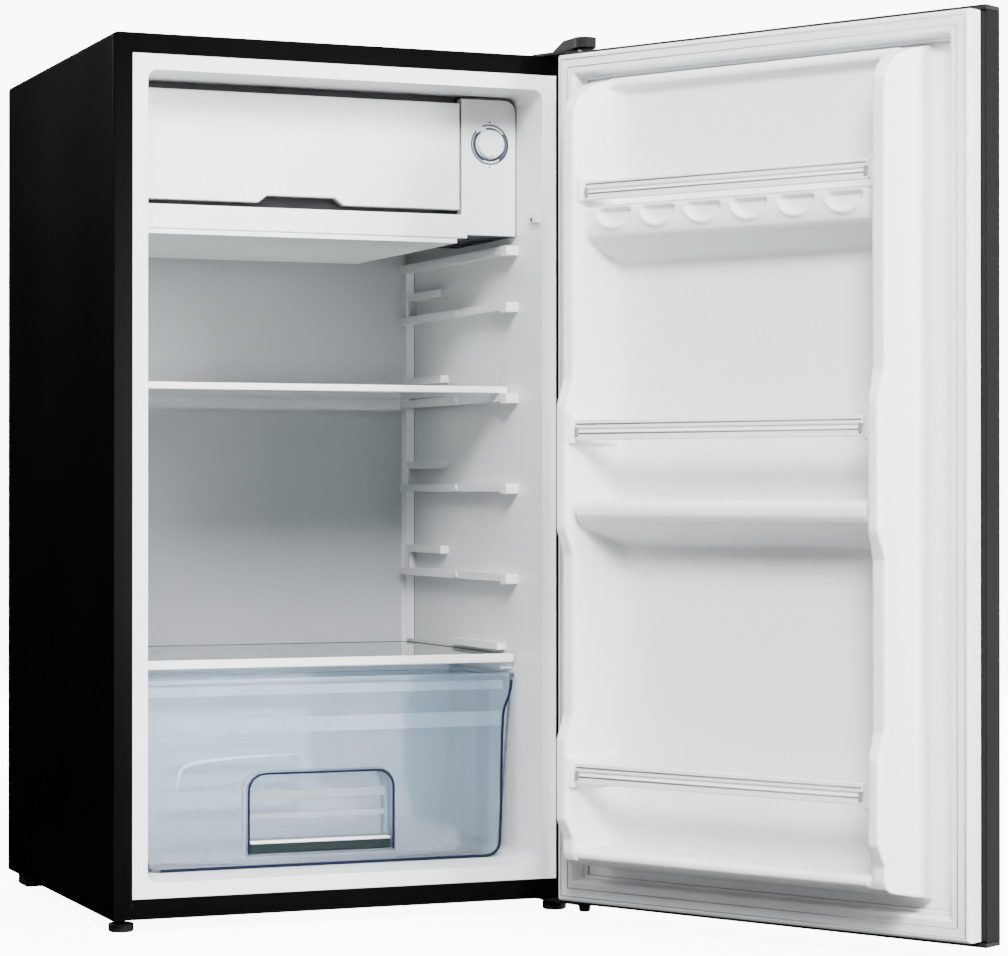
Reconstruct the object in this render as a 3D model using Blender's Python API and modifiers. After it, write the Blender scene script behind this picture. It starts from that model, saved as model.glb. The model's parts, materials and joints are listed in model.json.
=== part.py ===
"""Compact refrigerator with its door open, as an assembly of separate closed parts.

Lengths below are in millimetres in the cabinet's own frame: x from the left side, y from the
cabinet's front plane towards the back, z from the underside of the shell. Each part's mesh is in
metres in that frame. The empties on the joints' axes hold what moves, and the empty "cabinet" holds
everything, placed so that the origin is the middle of the base at rest. The door is modelled closed
and its empty turns it open.
"""
import math

import bmesh
import bpy
from mathutils import Matrix, Vector

MM = 0.001
GAP = 0.3                      # clearance between neighbouring parts

# cabinet
WIDTH = 470.0
DEPTH = 430.0
HEIGHT = 833.0
SHEET = 0.8                    # steel sheet of shell, pans and door skin
FLANGE = 19.0                  # black strip round the mouth
WALL = 34.0                    # outside to liner surface
CORNER = 5.0                   # outer top corners of the shell
LINER = 1.2                    # thickness of the moulded liners
LINER_BACK = 386.0
STEP_FRONT = 240.0             # compressor step inside
STEP_TOP = 233.0
BAY_FRONT = 275.0              # machine compartment outside
BAY_TOP = 200.0
LIP_FRONT = 0.5

# inside of the cabinet
LEDGE_TOPS = (593.0, 501.2, 410.0, 319.0)
LEDGE_OUT = 12.0
LEDGE_THICK = 8.0
FRONT_PLANE = 68.0             # freezer door and thermostat housing
SHELF_FRONT = 85.0
CRISPER_FRONT = 68.8
FREEZER_X = (41.0, 374.5)
FREEZER_Z = (684.0, 791.0)
FREEZER_AXIS = (73.0, 786.0)   # y, z of the flap's pivots
KNOB_CENTRE = (407.0, 751.0)   # x, z
KNOB_RADIUS = 14.0
KNOB_HIGH = 7.2

# door, modelled closed and then turned about its pins
DOOR_ANGLE = 118.5
PIVOT = (463.0, -42.0)         # x, y of the hinge pins
DOOR_INNER = -20.0             # y of the door's inner flange plane
DOOR_OUTER = -48.0
DOOR_LOW = 1.0
DOOR_HIGH = 830.0
CAP = 4.0
DOOR_ROUND = 6.0
DYKE = 76.0                    # height of the door liner's side walls
BULGE = 86.0                   # the same beside the two lower racks
FLOOR = 22.0                   # door recess floor
PIN_RADIUS = 2.5

# feet
FOOT = 13.0
FOOT_RADIUS = 12.0
FRONT_FEET = {"front_foot_left": (14.5, 24.0), "front_foot_right": (455.0, 15.0)}

SMOOTH_ANGLE = math.radians(30.0)
WELD = 0.000001                # metres

# name: colour, roughness, metallic
FINISHES = {
    "black_steel": ((0.008, 0.008, 0.009), 0.35, 0.0),
    "zinc_steel": ((0.50, 0.51, 0.52), 0.40, 1.0),
    "foam": ((0.75, 0.64, 0.38), 0.90, 0.0),
    "white_plastic": ((0.84, 0.85, 0.86), 0.32, 0.0),
    "black_plastic": ((0.012, 0.012, 0.013), 0.45, 0.0),
    "evaporator_sheet": ((0.70, 0.72, 0.74), 0.45, 1.0),
    "copper": ((0.68, 0.34, 0.20), 0.35, 1.0),
    "black_rubber": ((0.02, 0.02, 0.02), 0.75, 0.0),
    "white_rubber": ((0.76, 0.77, 0.78), 0.55, 0.0),
    "clear_plastic": ((0.70, 0.80, 0.90), 0.08, 0.0),
    "glass": ((0.84, 0.92, 0.90), 0.03, 0.0),
}
CLEAR = ("clear_plastic", "glass")


# ---------------------------------------------------------------- helpers

def clear_scene():
    for thing in list(bpy.data.objects):
        bpy.data.objects.remove(thing, do_unlink=True)


def collection(name):
    made = bpy.data.collections.get(name)
    if made is None:
        made = bpy.data.collections.new(name)
        bpy.context.scene.collection.children.link(made)
    return made


def finish(name):
    """The Principled material of that name, made the first time it is asked for."""
    material = bpy.data.materials.get(name)
    if material is None:
        colour, roughness, metallic = FINISHES[name]
        material = bpy.data.materials.new(name)
        material.use_nodes = True
        shader = material.node_tree.nodes["Principled BSDF"]
        shader.inputs["Base Color"].default_value = (*colour, 1.0)
        shader.inputs["Roughness"].default_value = roughness
        shader.inputs["Metallic"].default_value = metallic
        if name in CLEAR:
            shader.inputs["Transmission Weight"].default_value = 0.9
    return material


def blank(name, data):
    """A new shape, among the cutters until it is kept as a part."""
    thing = bpy.data.objects.new(name, data)
    collection("cutters").objects.link(thing)
    return thing


def as_mesh(thing, place=Matrix.Identity(4)):
    """Bake modifiers or a curve into one closed mesh, set in place in the cabinet's frame."""
    graph = bpy.context.evaluated_depsgraph_get()
    mesh = bpy.data.meshes.new_from_object(thing.evaluated_get(graph))
    name = thing.name
    bpy.data.objects.remove(thing, do_unlink=True)
    mesh.name = name
    mesh.transform(place)
    bm = bmesh.new()
    bm.from_mesh(mesh)
    bmesh.ops.remove_doubles(bm, verts=bm.verts, dist=WELD)
    bmesh.ops.dissolve_limit(bm, angle_limit=math.radians(0.2), verts=bm.verts, edges=bm.edges)
    bmesh.ops.recalc_face_normals(bm, faces=bm.faces)
    bm.to_mesh(mesh)
    bm.free()
    return blank(name, mesh)


def box(name, x, y, z):
    """Block between two values in millimetres along each axis."""
    spans = (x, y, z)
    bm = bmesh.new()
    bmesh.ops.create_cube(bm, size=1.0)
    bmesh.ops.scale(bm, vec=[(high - low) * MM for low, high in spans], verts=bm.verts)
    bmesh.ops.translate(bm, vec=[(high + low) / 2 * MM for low, high in spans], verts=bm.verts)
    mesh = bpy.data.meshes.new(name)
    bm.to_mesh(mesh)
    bm.free()
    return blank(name, mesh)


def line(curve, points, closed):
    """Add a straight-sided spline through points in metres."""
    spline = curve.splines.new("POLY")
    spline.points.add(len(points) - 1)
    for knot, point in zip(spline.points, points):
        knot.co = (*point, 1.0)
    spline.use_cyclic_u = closed


def prism(name, outline, axis, low, high):
    """Extrude a flat outline along x, y or z. The outline gives the other two coordinates."""
    curve = bpy.data.curves.new(name, "CURVE")
    curve.dimensions = "2D"
    curve.fill_mode = "BOTH"
    curve.extrude = (high - low) / 2 * MM
    line(curve, [(a * MM, b * MM, 0.0) for a, b in outline], True)
    turn = {"x": Matrix(((0, 0, 1), (1, 0, 0), (0, 1, 0))).to_4x4(),
            "y": Matrix.Rotation(math.radians(90.0), 4, "X"),
            "z": Matrix.Identity(4)}[axis]
    middle = (high + low) / 2 * MM
    along = Vector((axis == "x", axis == "y", axis == "z")) * middle
    return as_mesh(blank(name, curve), Matrix.Translation(along) @ turn)


def rounded(x, y, radius, steps=4):
    """Outline of a rectangle with rounded corners."""
    r = radius
    centres = ((x[1] - r, y[1] - r), (x[0] + r, y[1] - r), (x[0] + r, y[0] + r), (x[1] - r, y[0] + r))
    points = []
    for turn, (a, b) in enumerate(centres):
        for i in range(steps + 1):
            t = math.radians(90 * turn + 90 * i / steps)
            points.append((a + r * math.cos(t), b + r * math.sin(t)))
    return points


def spin(name, profile, closed, centre, axis, sides, stretch=(1.0, 1.0)):
    """Turn a line of (radius, height) pairs round an axis with a Screw modifier."""
    edges = [(i, i + 1) for i in range(len(profile) - 1)]
    if closed:
        edges.append((len(profile) - 1, 0))
    mesh = bpy.data.meshes.new(name)
    mesh.from_pydata([(r * MM, 0.0, h * MM) for r, h in profile], edges, [])
    thing = blank(name, mesh)
    turned = thing.modifiers.new("turn", "SCREW")
    turned.axis = "Z"
    turned.steps = sides
    turned.render_steps = sides
    turned.use_merge_vertices = True
    turned.merge_threshold = WELD
    lay = {"x": Matrix(((0, 0, 1), (1, 0, 0), (0, 1, 0))).to_4x4(),
           "y": Matrix.Rotation(math.radians(-90.0), 4, "X"),
           "z": Matrix.Identity(4)}[axis]
    place = Matrix.Translation(Vector(centre) * MM) @ lay @ Matrix.Diagonal((*stretch, 1.0, 1.0))
    return as_mesh(thing, place)


def lathe(name, profile, centre, axis="z", sides=24, stretch=(1.0, 1.0)):
    """Solid turned piece: the profile runs from one end to the other and is closed on the axis."""
    ends = [(0.0, profile[0][1]), *profile, (0.0, profile[-1][1])]
    return spin(name, ends, False, centre, axis, sides, stretch)


def sleeve(name, profile, centre, axis, sides=24):
    """Ring turned from a closed profile that keeps clear of the axis."""
    return spin(name, profile, True, centre, axis, sides)


def loft(name, first, last):
    """Solid between two unlike sections that have the same number of points."""
    bm = bmesh.new()
    rows = [[bm.verts.new(Vector(p) * MM) for p in ring] for ring in (first, last)]
    for i in range(len(first)):
        j = (i + 1) % len(first)
        bm.faces.new((rows[0][i], rows[0][j], rows[1][j], rows[1][i]))
    bm.faces.new(rows[0])
    bm.faces.new(rows[1])
    bmesh.ops.recalc_face_normals(bm, faces=bm.faces)
    mesh = bpy.data.meshes.new(name)
    bm.to_mesh(mesh)
    bm.free()
    return blank(name, mesh)


def combine(base, tool, how="DIFFERENCE", solver="EXACT"):
    """Cut or join two closed solids, and keep the result as the base's mesh."""
    step = base.modifiers.new("combine", "BOOLEAN")
    step.operation = how
    step.solver = solver
    step.object = tool
    graph = bpy.context.evaluated_depsgraph_get()
    mesh = bpy.data.meshes.new_from_object(base.evaluated_get(graph))
    base.modifiers.clear()
    base.data = mesh
    mesh.name = base.name
    bpy.data.objects.remove(tool, do_unlink=True)
    return base


def cut(base, *tools):
    for tool in tools:
        combine(base, tool)
    return base


def join(base, *tools):
    for tool in tools:
        combine(base, tool, "UNION")
    return base


def tidy(thing):
    """Merge the flat pieces that the Booleans leave."""
    bm = bmesh.new()
    bm.from_mesh(thing.data)
    bmesh.ops.remove_doubles(bm, verts=bm.verts, dist=1e-6)
    bmesh.ops.dissolve_limit(bm, angle_limit=math.radians(0.3), verts=bm.verts, edges=bm.edges)
    bmesh.ops.triangulate(bm, faces=bm.faces)
    bm.to_mesh(thing.data)
    bm.free()
    return thing


def soften(thing, width, chosen, steps=2):
    """Bevel the edges that chosen(start, end) picks; both ends are given in millimetres."""
    bm = bmesh.new()
    bm.from_mesh(thing.data)
    picked = [e for e in bm.edges if chosen(e.verts[0].co / MM, e.verts[1].co / MM)]
    bmesh.ops.bevel(bm, geom=picked, offset=width * MM, segments=steps, affect="EDGES", profile=0.5)
    bm.to_mesh(thing.data)
    bm.free()
    return thing


def pipe(name, points, radius, bend=8.0):
    """A round tube along a polyline whose corners are rounded, with filled ends."""
    path = [Vector(points[0])]
    for before, here, after in zip(points, points[1:], points[2:]):
        a, b, c = Vector(before), Vector(here), Vector(after)
        reach = min(bend, (a - b).length * 0.45, (c - b).length * 0.45)
        start = b + (a - b).normalized() * reach
        end = b + (c - b).normalized() * reach
        for i in range(4):
            t = i / 3
            path.append(start * (1 - t) ** 2 + b * 2 * t * (1 - t) + end * t ** 2)
    path.append(Vector(points[-1]))
    curve = bpy.data.curves.new(name, "CURVE")
    curve.dimensions = "3D"
    curve.bevel_depth = radius * MM
    curve.bevel_resolution = 2
    curve.use_fill_caps = True
    line(curve, [point * MM for point in path], False)
    return as_mesh(blank(name, curve))


def keep(thing, material, carrier="cabinet"):
    """Make a finished shape a part: material, smooth shading, collection and the empty that carries it."""
    thing.data.materials.clear()
    thing.data.materials.append(finish(material))
    thing.data.shade_smooth()
    thing.data.set_sharp_from_angle(angle=SMOOTH_ANGLE)
    collection("cutters").objects.unlink(thing)
    collection("compact_refrigerator").objects.link(thing)
    thing.parent = bpy.data.objects[carrier]
    if carrier != "cabinet":
        thing.location -= thing.parent.location
    return thing


def holder(name, place, turn=0.0):
    """Empty on a joint's axis, or at a sliding piece's front, that carries what moves there."""
    empty = bpy.data.objects.new(name, None)
    empty.location = Vector(place) * MM
    empty.rotation_euler = (0.0, 0.0, math.radians(turn))
    collection("compact_refrigerator").objects.link(empty)
    if name != "cabinet":
        empty.parent = bpy.data.objects["cabinet"]
    return empty


def holders():
    """One empty for the fixed parts and one for each body that moves."""
    holder("cabinet", (0.0, 0.0, 0.0))
    holder("door", (*PIVOT, 0.0), DOOR_ANGLE)
    holder("freezer_flap", (sum(FREEZER_X) / 2, *FREEZER_AXIS))
    holder("dial", (KNOB_CENTRE[0], FRONT_PLANE, KNOB_CENTRE[1]))
    holder("tray_slide", (WIDTH / 2, FRONT_PLANE, 650.0))
    holder("shelf_slide", (WIDTH / 2, SHELF_FRONT, LEDGE_TOPS[1]))
    holder("lid_slide", (WIDTH / 2, CRISPER_FRONT, STEP_TOP))
    holder("drawer_slide", (WIDTH / 2, CRISPER_FRONT, WALL))


def copies(shape, placings, material):
    """Parts that share one mesh, each with its own place in millimetres and turn in degrees about x."""
    for name, place, turn in placings:
        thing = blank(name, shape.data)
        thing.location = Vector(place) * MM
        thing.rotation_euler = (math.radians(turn), 0.0, 0.0)
        keep(thing, material)
    bpy.data.objects.remove(shape, do_unlink=True)


def screws():
    """Pan heads, standing on the back, on the upper hinge and under the lower one."""
    head = lathe("screw", [(3.6, 0.0), (3.6, 1.0), (2.6, 2.0), (0.9, 2.2)], (0.0, 0.0, 0.0), sides=12)
    back = DEPTH - 0.2 + 0.05
    top = HEIGHT + GAP + 2.55
    copies(head, (("back_screw_1", (20.0, back, 215.0), -90.0),
                  ("back_screw_2", (WIDTH - 20.0, back, 215.0), -90.0),
                  ("upper_hinge_screw_1", (440.0, 36.0, top), 0.0),
                  ("upper_hinge_screw_2", (458.0, 36.0, top), 0.0),
                  ("lower_hinge_screw_1", (447.0, 38.0, -3.35), 180.0),
                  ("lower_hinge_screw_2", (461.0, 38.0, -3.35), 180.0)), "zinc_steel")


# ---------------------------------------------------------------- cabinet sheet metal

def hoop(x, low, top, radius, steps=4):
    """Outline in x and z of an upright block with rounded top corners."""
    outline = [(x[0], low), (x[1], low)]
    for cx, start in ((x[1] - radius, 0), (x[0] + radius, 90)):
        for i in range(steps + 1):
            t = math.radians(start + 90 * i / steps)
            outline.append((cx + radius * math.cos(t), top - radius + radius * math.sin(t)))
    return outline


def outer_shell():
    """Steel sheet round both sides and the top, folded inwards round the mouth."""
    shell = prism("outer_shell", hoop((0.0, WIDTH), 0.0, HEIGHT, CORNER), "y", 0.0, DEPTH)
    soften(shell, 1.5, lambda a, b: max(a.y, b.y) < 0.01 and max(a.z, b.z) > 0.01)
    room = hoop((SHEET, WIDTH - SHEET), -5.0, HEIGHT - SHEET, CORNER - SHEET)
    mouth = box("mouth", (FLANGE, WIDTH - FLANGE), (-5.0, SHEET + 2.0), (-5.0, HEIGHT - FLANGE))
    cut(shell, prism("room", room, "y", SHEET, DEPTH + 5.0), mouth)
    lip_out = FLANGE - SHEET
    lip = box("lip", (lip_out, WIDTH - lip_out), (SHEET / 2, 6.0), (0.0, HEIGHT - lip_out))
    cut(lip, box("mouth", (FLANGE, WIDTH - FLANGE), (-5.0, 9.0), (-5.0, HEIGHT - FLANGE)))
    join(shell, lip)
    keep(tidy(shell), "black_steel")


def front_bottom_rail():
    """Channel that closes the mouth's black strip at the bottom, between the side strips."""
    outline = [(0.0, 0.0), (30.0, 0.0), (30.0, SHEET), (SHEET, SHEET), (SHEET, FLANGE - SHEET),
               (6.0, FLANGE - SHEET), (6.0, FLANGE), (0.0, FLANGE)]
    rail = prism("front_bottom_rail", outline, "x", FLANGE + GAP, WIDTH - FLANGE - GAP)
    x, y = FRONT_FEET["front_foot_left"]
    cut(rail, lathe("hole", [(5.0, -3.0), (5.0, 6.0)], (x, y, 0.0)))
    keep(tidy(rail), "black_steel")


def base_pan():
    """Bottom sheet that steps up over the machine compartment."""
    outline = [(30.0 + GAP, 0.0), (BAY_FRONT + SHEET, 0.0), (BAY_FRONT + SHEET, BAY_TOP),
               (DEPTH - 1.3, BAY_TOP), (DEPTH - 1.3, BAY_TOP + SHEET),
               (BAY_FRONT, BAY_TOP + SHEET), (BAY_FRONT, SHEET), (30.0 + GAP, SHEET)]
    pan = prism("base_pan", outline, "x", SHEET + GAP, WIDTH - SHEET - GAP)
    z = (BAY_TOP - 2, BAY_TOP + 3)
    cut(pan, box("notch", (0.0, 8.5), (330.0, 372.0), z),
        box("notch", (WIDTH - 8.5, WIDTH), (330.0, 372.0), z),
        box("notch", (224.0, 248.0), (415.0, 440.0), z))
    keep(tidy(pan), "zinc_steel")


def inside_shell(low):
    """Outline in x and z of what fits inside the shell with rounded top corners."""
    inset = SHEET + GAP
    return hoop((inset, WIDTH - inset), low, HEIGHT - inset, CORNER - inset)


def back_panel():
    y = (DEPTH - 1.0, DEPTH - 0.2)
    panel = prism("back_panel", inside_shell(BAY_TOP + 2.0), "y", *y)
    keep(panel, "black_steel")


def cabinet_foam():
    foam = prism("cabinet_foam", inside_shell(SHEET + GAP), "y", 6.0 + GAP, DEPTH - 1.0 - GAP)
    out = LINER + GAP
    low = WALL - out
    cavity = [(0.0, low), (STEP_FRONT + out, low), (STEP_FRONT + out, STEP_TOP - out),
              (LINER_BACK + out, STEP_TOP - out), (LINER_BACK + out, HEIGHT - WALL + out),
              (0.0, HEIGHT - WALL + out)]
    coil_y = (40.0, 400.0)
    coil_z = (120.0, 790.0)
    cut(foam, prism("cavity", cavity, "x", low, WIDTH - low),
        box("bay", (-5.0, WIDTH + 5.0), (BAY_FRONT - GAP, DEPTH + 5), (-5.0, BAY_TOP + SHEET + GAP)),
        box("coil_left", (-5.0, 8.0), coil_y, coil_z),
        box("coil_right", (WIDTH - 8.0, WIDTH + 5), coil_y, coil_z),
        box("groove", (226.0, 246.0), (416.0, DEPTH + 5), (150.0, 752.0)),
        box("duct", (228.0, 244.0), (380.0, 420.0), (732.0, 750.0)),
        box("drain", (98.0, 112.0), (250.0, 264.0), (150.0, 245.0)))
    for x, y in FRONT_FEET.values():
        cut(foam, lathe("hole", [(5.4, -3.0), (5.4, 14.0)], (x, y, 0.0)))
    keep(tidy(foam), "foam")


# ---------------------------------------------------------------- liner and what stands in it

def inner_liner():
    out = LINER
    low = WALL - out
    envelope = [(1.0, low), (STEP_FRONT + out, low), (STEP_FRONT + out, STEP_TOP - out),
                (LINER_BACK + out, STEP_TOP - out), (LINER_BACK + out, HEIGHT - WALL + out),
                (1.0, HEIGHT - WALL + out)]
    liner = prism("inner_liner", envelope, "x", low, WIDTH - low)
    edge = FLANGE + GAP
    lip = box("lip", (edge, WIDTH - edge), (LIP_FRONT, LIP_FRONT + LINER), (edge, HEIGHT - edge))
    hollow = [(-9.0, WALL), (STEP_FRONT, WALL), (STEP_FRONT, STEP_TOP), (LINER_BACK, STEP_TOP),
              (LINER_BACK, HEIGHT - WALL), (-9.0, HEIGHT - WALL)]
    room = prism("room", hollow, "x", WALL, WIDTH - WALL)

    def hidden_edge(a, b):
        return max(a.y, b.y) > 0 and not (abs(a.z - STEP_TOP) < 1 and abs(b.z - STEP_TOP) < 1)
    soften(room, 9.0, hidden_edge, steps=3)
    join(liner, lip)
    cut(liner, room)
    for side in (1, -1):
        def span(near, far, side=side):
            pair = (WALL + near, WALL + far)
            return pair if side == 1 else (WIDTH - pair[1], WIDTH - pair[0])
        for top in LEDGE_TOPS:
            join(liner, ledge(span, top, 66.0, 374.0))
            join(liner, box("stop", span(-0.6, 9.0), (258.0, 362.0), (top + 17.0, top + 25.0)),
                 box("web", span(-0.6, 8.0), (355.0, 361.5), (top - 1.0, top + 18.0)))
        join(liner, ledge(span, 650.0, 66.0, 374.0))
        join(liner, ledge(span, STEP_TOP, 82.0, STEP_FRONT + 0.6))
        join(liner, box("hold_down", span(-0.6, 9.0), (98.0, 232.0), (241.0, 248.0)))
    cut(liner, box("duct", (229.0, 243.0), (380.0, 392.0), (733.0, 749.0)),
        lathe("drain", [(3.2, -9.0), (3.2, 9.0)], (105.0, 257.0, STEP_TOP)))
    keep(tidy(liner), "white_plastic")


def ledge(span, top, front, back):
    """Shelf support: a rib along the side wall, a little deeper at its front end."""
    rib = box("ledge", span(-0.6, LEDGE_OUT), (front, back), (top - LEDGE_THICK, top))
    boss = box("boss", span(-0.5, LEDGE_OUT + 1.5), (front - 4.0, front + 12.0),
               (top - LEDGE_THICK - 2.5, top - 0.1))
    soften(boss, 2.0, lambda a, b: abs(a.y - b.y) < 0.1 and min(a.y, b.y) < front)
    return join(rib, boss)


def mouth_plug():
    plug = box("mouth_plug", (430.5, WIDTH - WALL - GAP), (3.0, 23.0), (668.0, 682.0))
    soften(plug, 2.0, lambda a, b: max(a.x, b.x) < 431)
    cut(plug, lathe("hole", [(2.6, -9.0), (2.6, 3.0)], (430.5, 16.0, 671.8), "x", 12))
    keep(tidy(plug), "white_plastic")


def evaporator():
    """Roll-bond sheet folded into the freezer box, open at the front and the back."""
    y = (82.0, 372.0)
    x = (42.0, 369.0)
    z = (693.0, 793.0)
    duct = prism("evaporator", rounded(x, z, 8.0, 3), "y", *y)
    inner = rounded((x[0] + 1.6, x[1] - 1.6), (z[0] + 1.6, z[1] - 1.6), 6.4, 3)
    cut(duct, prism("inside", inner, "y", y[0] - 5, y[1] + 5))
    keep(tidy(duct), "evaporator_sheet")


def freezer_door():
    """Flap with a finger notch in its lower edge and a pivot stub at each top end."""
    x, z = FREEZER_X, FREEZER_Z
    back = FRONT_PLANE + 10.0
    middle = 207.5
    outline = [(x[0], z[0]), (middle - 44, z[0]), (middle - 35, z[0] + 7), (middle + 35, z[0] + 7),
               (middle + 44, z[0]), (x[1], z[0]), (x[1], z[1]), (x[0], z[1])]
    flap = prism("freezer_door", outline, "y", FRONT_PLANE - 1.0, back)
    soften(flap, 1.5, lambda a, b: max(a.y, b.y) < FRONT_PLANE)
    hollow = box("hollow", (x[0] + 3, x[1] - 3), (FRONT_PLANE + 3, back + 5), (z[0] + 11, z[1] - 9))
    cut(flap, hollow)
    y, axis_z = FREEZER_AXIS
    for end, way in ((x[0] + 1, -1), (x[1] - 1, 1)):
        stub = lathe("stub", [(2.0, -0.5 * way), (2.0, 2.6 * way)], (end, y, axis_z), "x", 12)
        join(flap, stub)
    keep(tidy(flap), "white_plastic", "freezer_flap")


def drip_tray():
    """Tray that slides in under the freezer box; its front is a plain strip."""
    front = FRONT_PLANE - 4.5
    face = box("drip_tray", (36.5, 381.5), (front, front + 4.0), (655.5, 679.0))
    soften(face, 1.2, lambda a, b: max(a.y, b.y) < front + 0.1)
    tub = box("tub", (48.5, 371.0), (front + 2, 364.0), (650.5, 674.0))
    join(face, tub)
    cut(face, box("room", (50.5, 369.0), (front + 5.0, 362.0), (652.5, 690.0)))
    keep(tidy(face), "white_plastic", "tray_slide")


def thermostat_housing():
    x = (376.5, WIDTH - WALL - 0.6)
    y = (FRONT_PLANE, 232.0)
    z = (659.5, 796.0)
    r = 12.0
    outline = [(x[0], z[0]), (x[1], z[0])]
    for i in range(5):
        t = math.radians(90 * i / 4)
        outline.append((x[1] - r + r * math.cos(t), z[1] - r + r * math.sin(t)))
    outline.append((x[0], z[1]))
    case = prism("thermostat_housing", outline, "y", *y)
    room = [(x[0] + 2, z[0] + 2), (x[1] - 2, z[0] + 2), (x[1] - 2, z[1] - r),
            (x[1] - r, z[1] - 2.5), (x[0] + 2, z[1] - 2.5)]
    kx, kz = KNOB_CENTRE
    cut(case, prism("room", room, "y", y[0] + 2, y[1] + 5),
        lathe("hole", [(3.8, -9.0), (3.8, 9.0)], (kx, y[0], kz), "y"))
    keep(tidy(case), "white_plastic")


def thermostat_control():
    kx, kz = KNOB_CENTRE
    body = box("thermostat_control", (kx - 16, kx + 16), (FRONT_PLANE + 4, FRONT_PLANE + 44),
               (kz - 22, kz + 22))
    shaft = lathe("shaft", [(3.0, FRONT_PLANE - 3.5), (3.0, FRONT_PLANE + 10)], (kx, 0.0, kz), "y")
    join(body, shaft)
    keep(tidy(body), "white_plastic")


def sensor_tube():
    kx, kz = KNOB_CENTRE
    y = FRONT_PLANE + 44 + GAP
    tube = pipe("sensor_tube", [(kx, y, kz - 8), (kx, 150.0, kz - 8), (kx, 242.0, kz - 20),
                                (371.2, 252.0, kz - 20), (371.2, 330.0, kz - 20)], 1.1)
    keep(tube, "copper")


def thermostat_knob():
    """Dial with a raised grip bar across it."""
    kx, kz = KNOB_CENTRE
    back = FRONT_PLANE - GAP
    r = KNOB_RADIUS
    profile = [(r, 0.0), (r, -4.6), (r - 1.2, -5.6), (0.6, -5.6)]
    knob = lathe("thermostat_knob", profile, (kx, back, kz), "y", 32)
    grip = box("grip", (kx - 2.2, kx + 2.2), (back - KNOB_HIGH, back - 4.0), (kz - r + 1.5, kz + r - 1.5))
    soften(grip, 1.0, lambda a, b: max(a.y, b.y) < back - 6, 1)
    join(knob, grip)
    cut(knob, lathe("bore", [(3.08, -3.6), (3.08, 2.0)], (kx, back, kz), "y"))
    keep(tidy(knob), "white_plastic", "dial")


def shelf():
    """Full-width glass shelf with a white strip along its front edge."""
    top = LEDGE_TOPS[1]
    x = (36.5, WIDTH - 36.5)
    low = top + GAP
    glass = box("shelf_glass", x, (SHELF_FRONT + 6.0, 354.0), (low + 1.0, low + 5.0))
    trim = prism("shelf_trim", [(SHELF_FRONT, low), (SHELF_FRONT + 12, low),
                                (SHELF_FRONT + 12, low + 0.7), (SHELF_FRONT + 5.7, low + 0.7),
                                (SHELF_FRONT + 5.7, low + 5.3), (SHELF_FRONT + 12, low + 5.3),
                                (SHELF_FRONT + 12, low + 7.0), (SHELF_FRONT, low + 7.0)], "x", *x)
    soften(trim, 1.2, lambda a, b: max(a.y, b.y) < SHELF_FRONT + 1 and abs(a.x - b.x) > 5)
    keep(glass, "glass", "shelf_slide")
    keep(trim, "white_plastic", "shelf_slide")


def crisper_lid():
    x = (36.5, WIDTH - 36.5)
    y = CRISPER_FRONT - 0.5
    low = STEP_TOP + GAP
    glass = box("crisper_lid_glass", x, (y + 7.0, 372.0), (low, low + 4.0))
    outline = [(y, low - 3.5), (y + 3.0, low - 3.5), (y + 3.0, low - 0.3), (y + 6.7, low - 0.3),
               (y + 6.7, low + 5.2), (y, low + 5.2)]
    trim = prism("crisper_lid_trim", outline, "x", *x)
    soften(trim, 1.2, lambda a, b: max(a.y, b.y) < y + 1 and abs(a.x - b.x) > 5)
    keep(glass, "glass", "lid_slide")
    keep(trim, "white_plastic", "lid_slide")


def drawer_solid(name, inset, low, high, front):
    """Tapered tub whose lower side edges are rounded, as a closed solid."""
    top = (37.0 + inset, WIDTH - 37.0 - inset)
    base = (51.0 + inset, WIDTH - 51.0 - inset)
    r = 14.0 - inset
    outline = [(top[0], high)]
    for cx, start in ((base[0] + r, 180), (base[1] - r, 270)):
        for i in range(5):
            t = math.radians(start + 90 * i / 4)
            outline.append((cx + r * math.cos(t), low + r + r * math.sin(t)))
    outline.append((top[1], high))
    return prism(name, outline, "y", front, STEP_FRONT - 6.0 - inset)


def arch(name, grow, y):
    """The hand-hold's outline: straight sides, rounded top corners."""
    outline = hoop((155.0 - grow, 305.0 + grow), 48.0 - grow, 126.0 + grow, 17.0 + grow)
    return prism(name, outline, "y", *y)


def crisper_drawer():
    """Clear bin with a rim, and a hand-hold pressed into its front."""
    low, high, thick = WALL + 1.0, 219.0, 2.2
    front = CRISPER_FRONT + 1.5
    drawer = drawer_solid("crisper_drawer", 0.0, low, high, front)
    rim = box("rim", (36.0, WIDTH - 36.0), (CRISPER_FRONT, STEP_FRONT - 4.0), (high - 5.0, high))
    join(drawer, rim)
    cut(drawer, arch("hold", 0.0, (front - 9, front + 16)))
    room = drawer_solid("room", thick, low + thick, high + 6.0, front + thick)
    cut(room, arch("hold", thick, (front - 9, front + 16 + thick)))
    cut(drawer, room)
    keep(tidy(drawer), "clear_plastic", "drawer_slide")


# ---------------------------------------------------------------- machine compartment

def compressor_tray():
    x = (SHEET + GAP, WIDTH - SHEET - GAP)
    y = (290.0, DEPTH - 4.0)
    tray = box("compressor_tray", x, y, (0.0, 1.5))
    for edge in ((y[0], y[0] + 1.5), (y[1] - 1.5, y[1])):
        join(tray, box("edge", x, edge, (0.5, 12.0)))
    plate = box("plate", (388.0, 422.0), (y[1] - 1.5, y[1]), (6.0, 44.0))
    join(tray, plate)
    cut(tray, lathe("hole", [(9.3, -9.0), (9.3, 9.0)], (405.0, y[1], 27.0), "y"))
    keep(tidy(tray), "zinc_steel")


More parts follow.
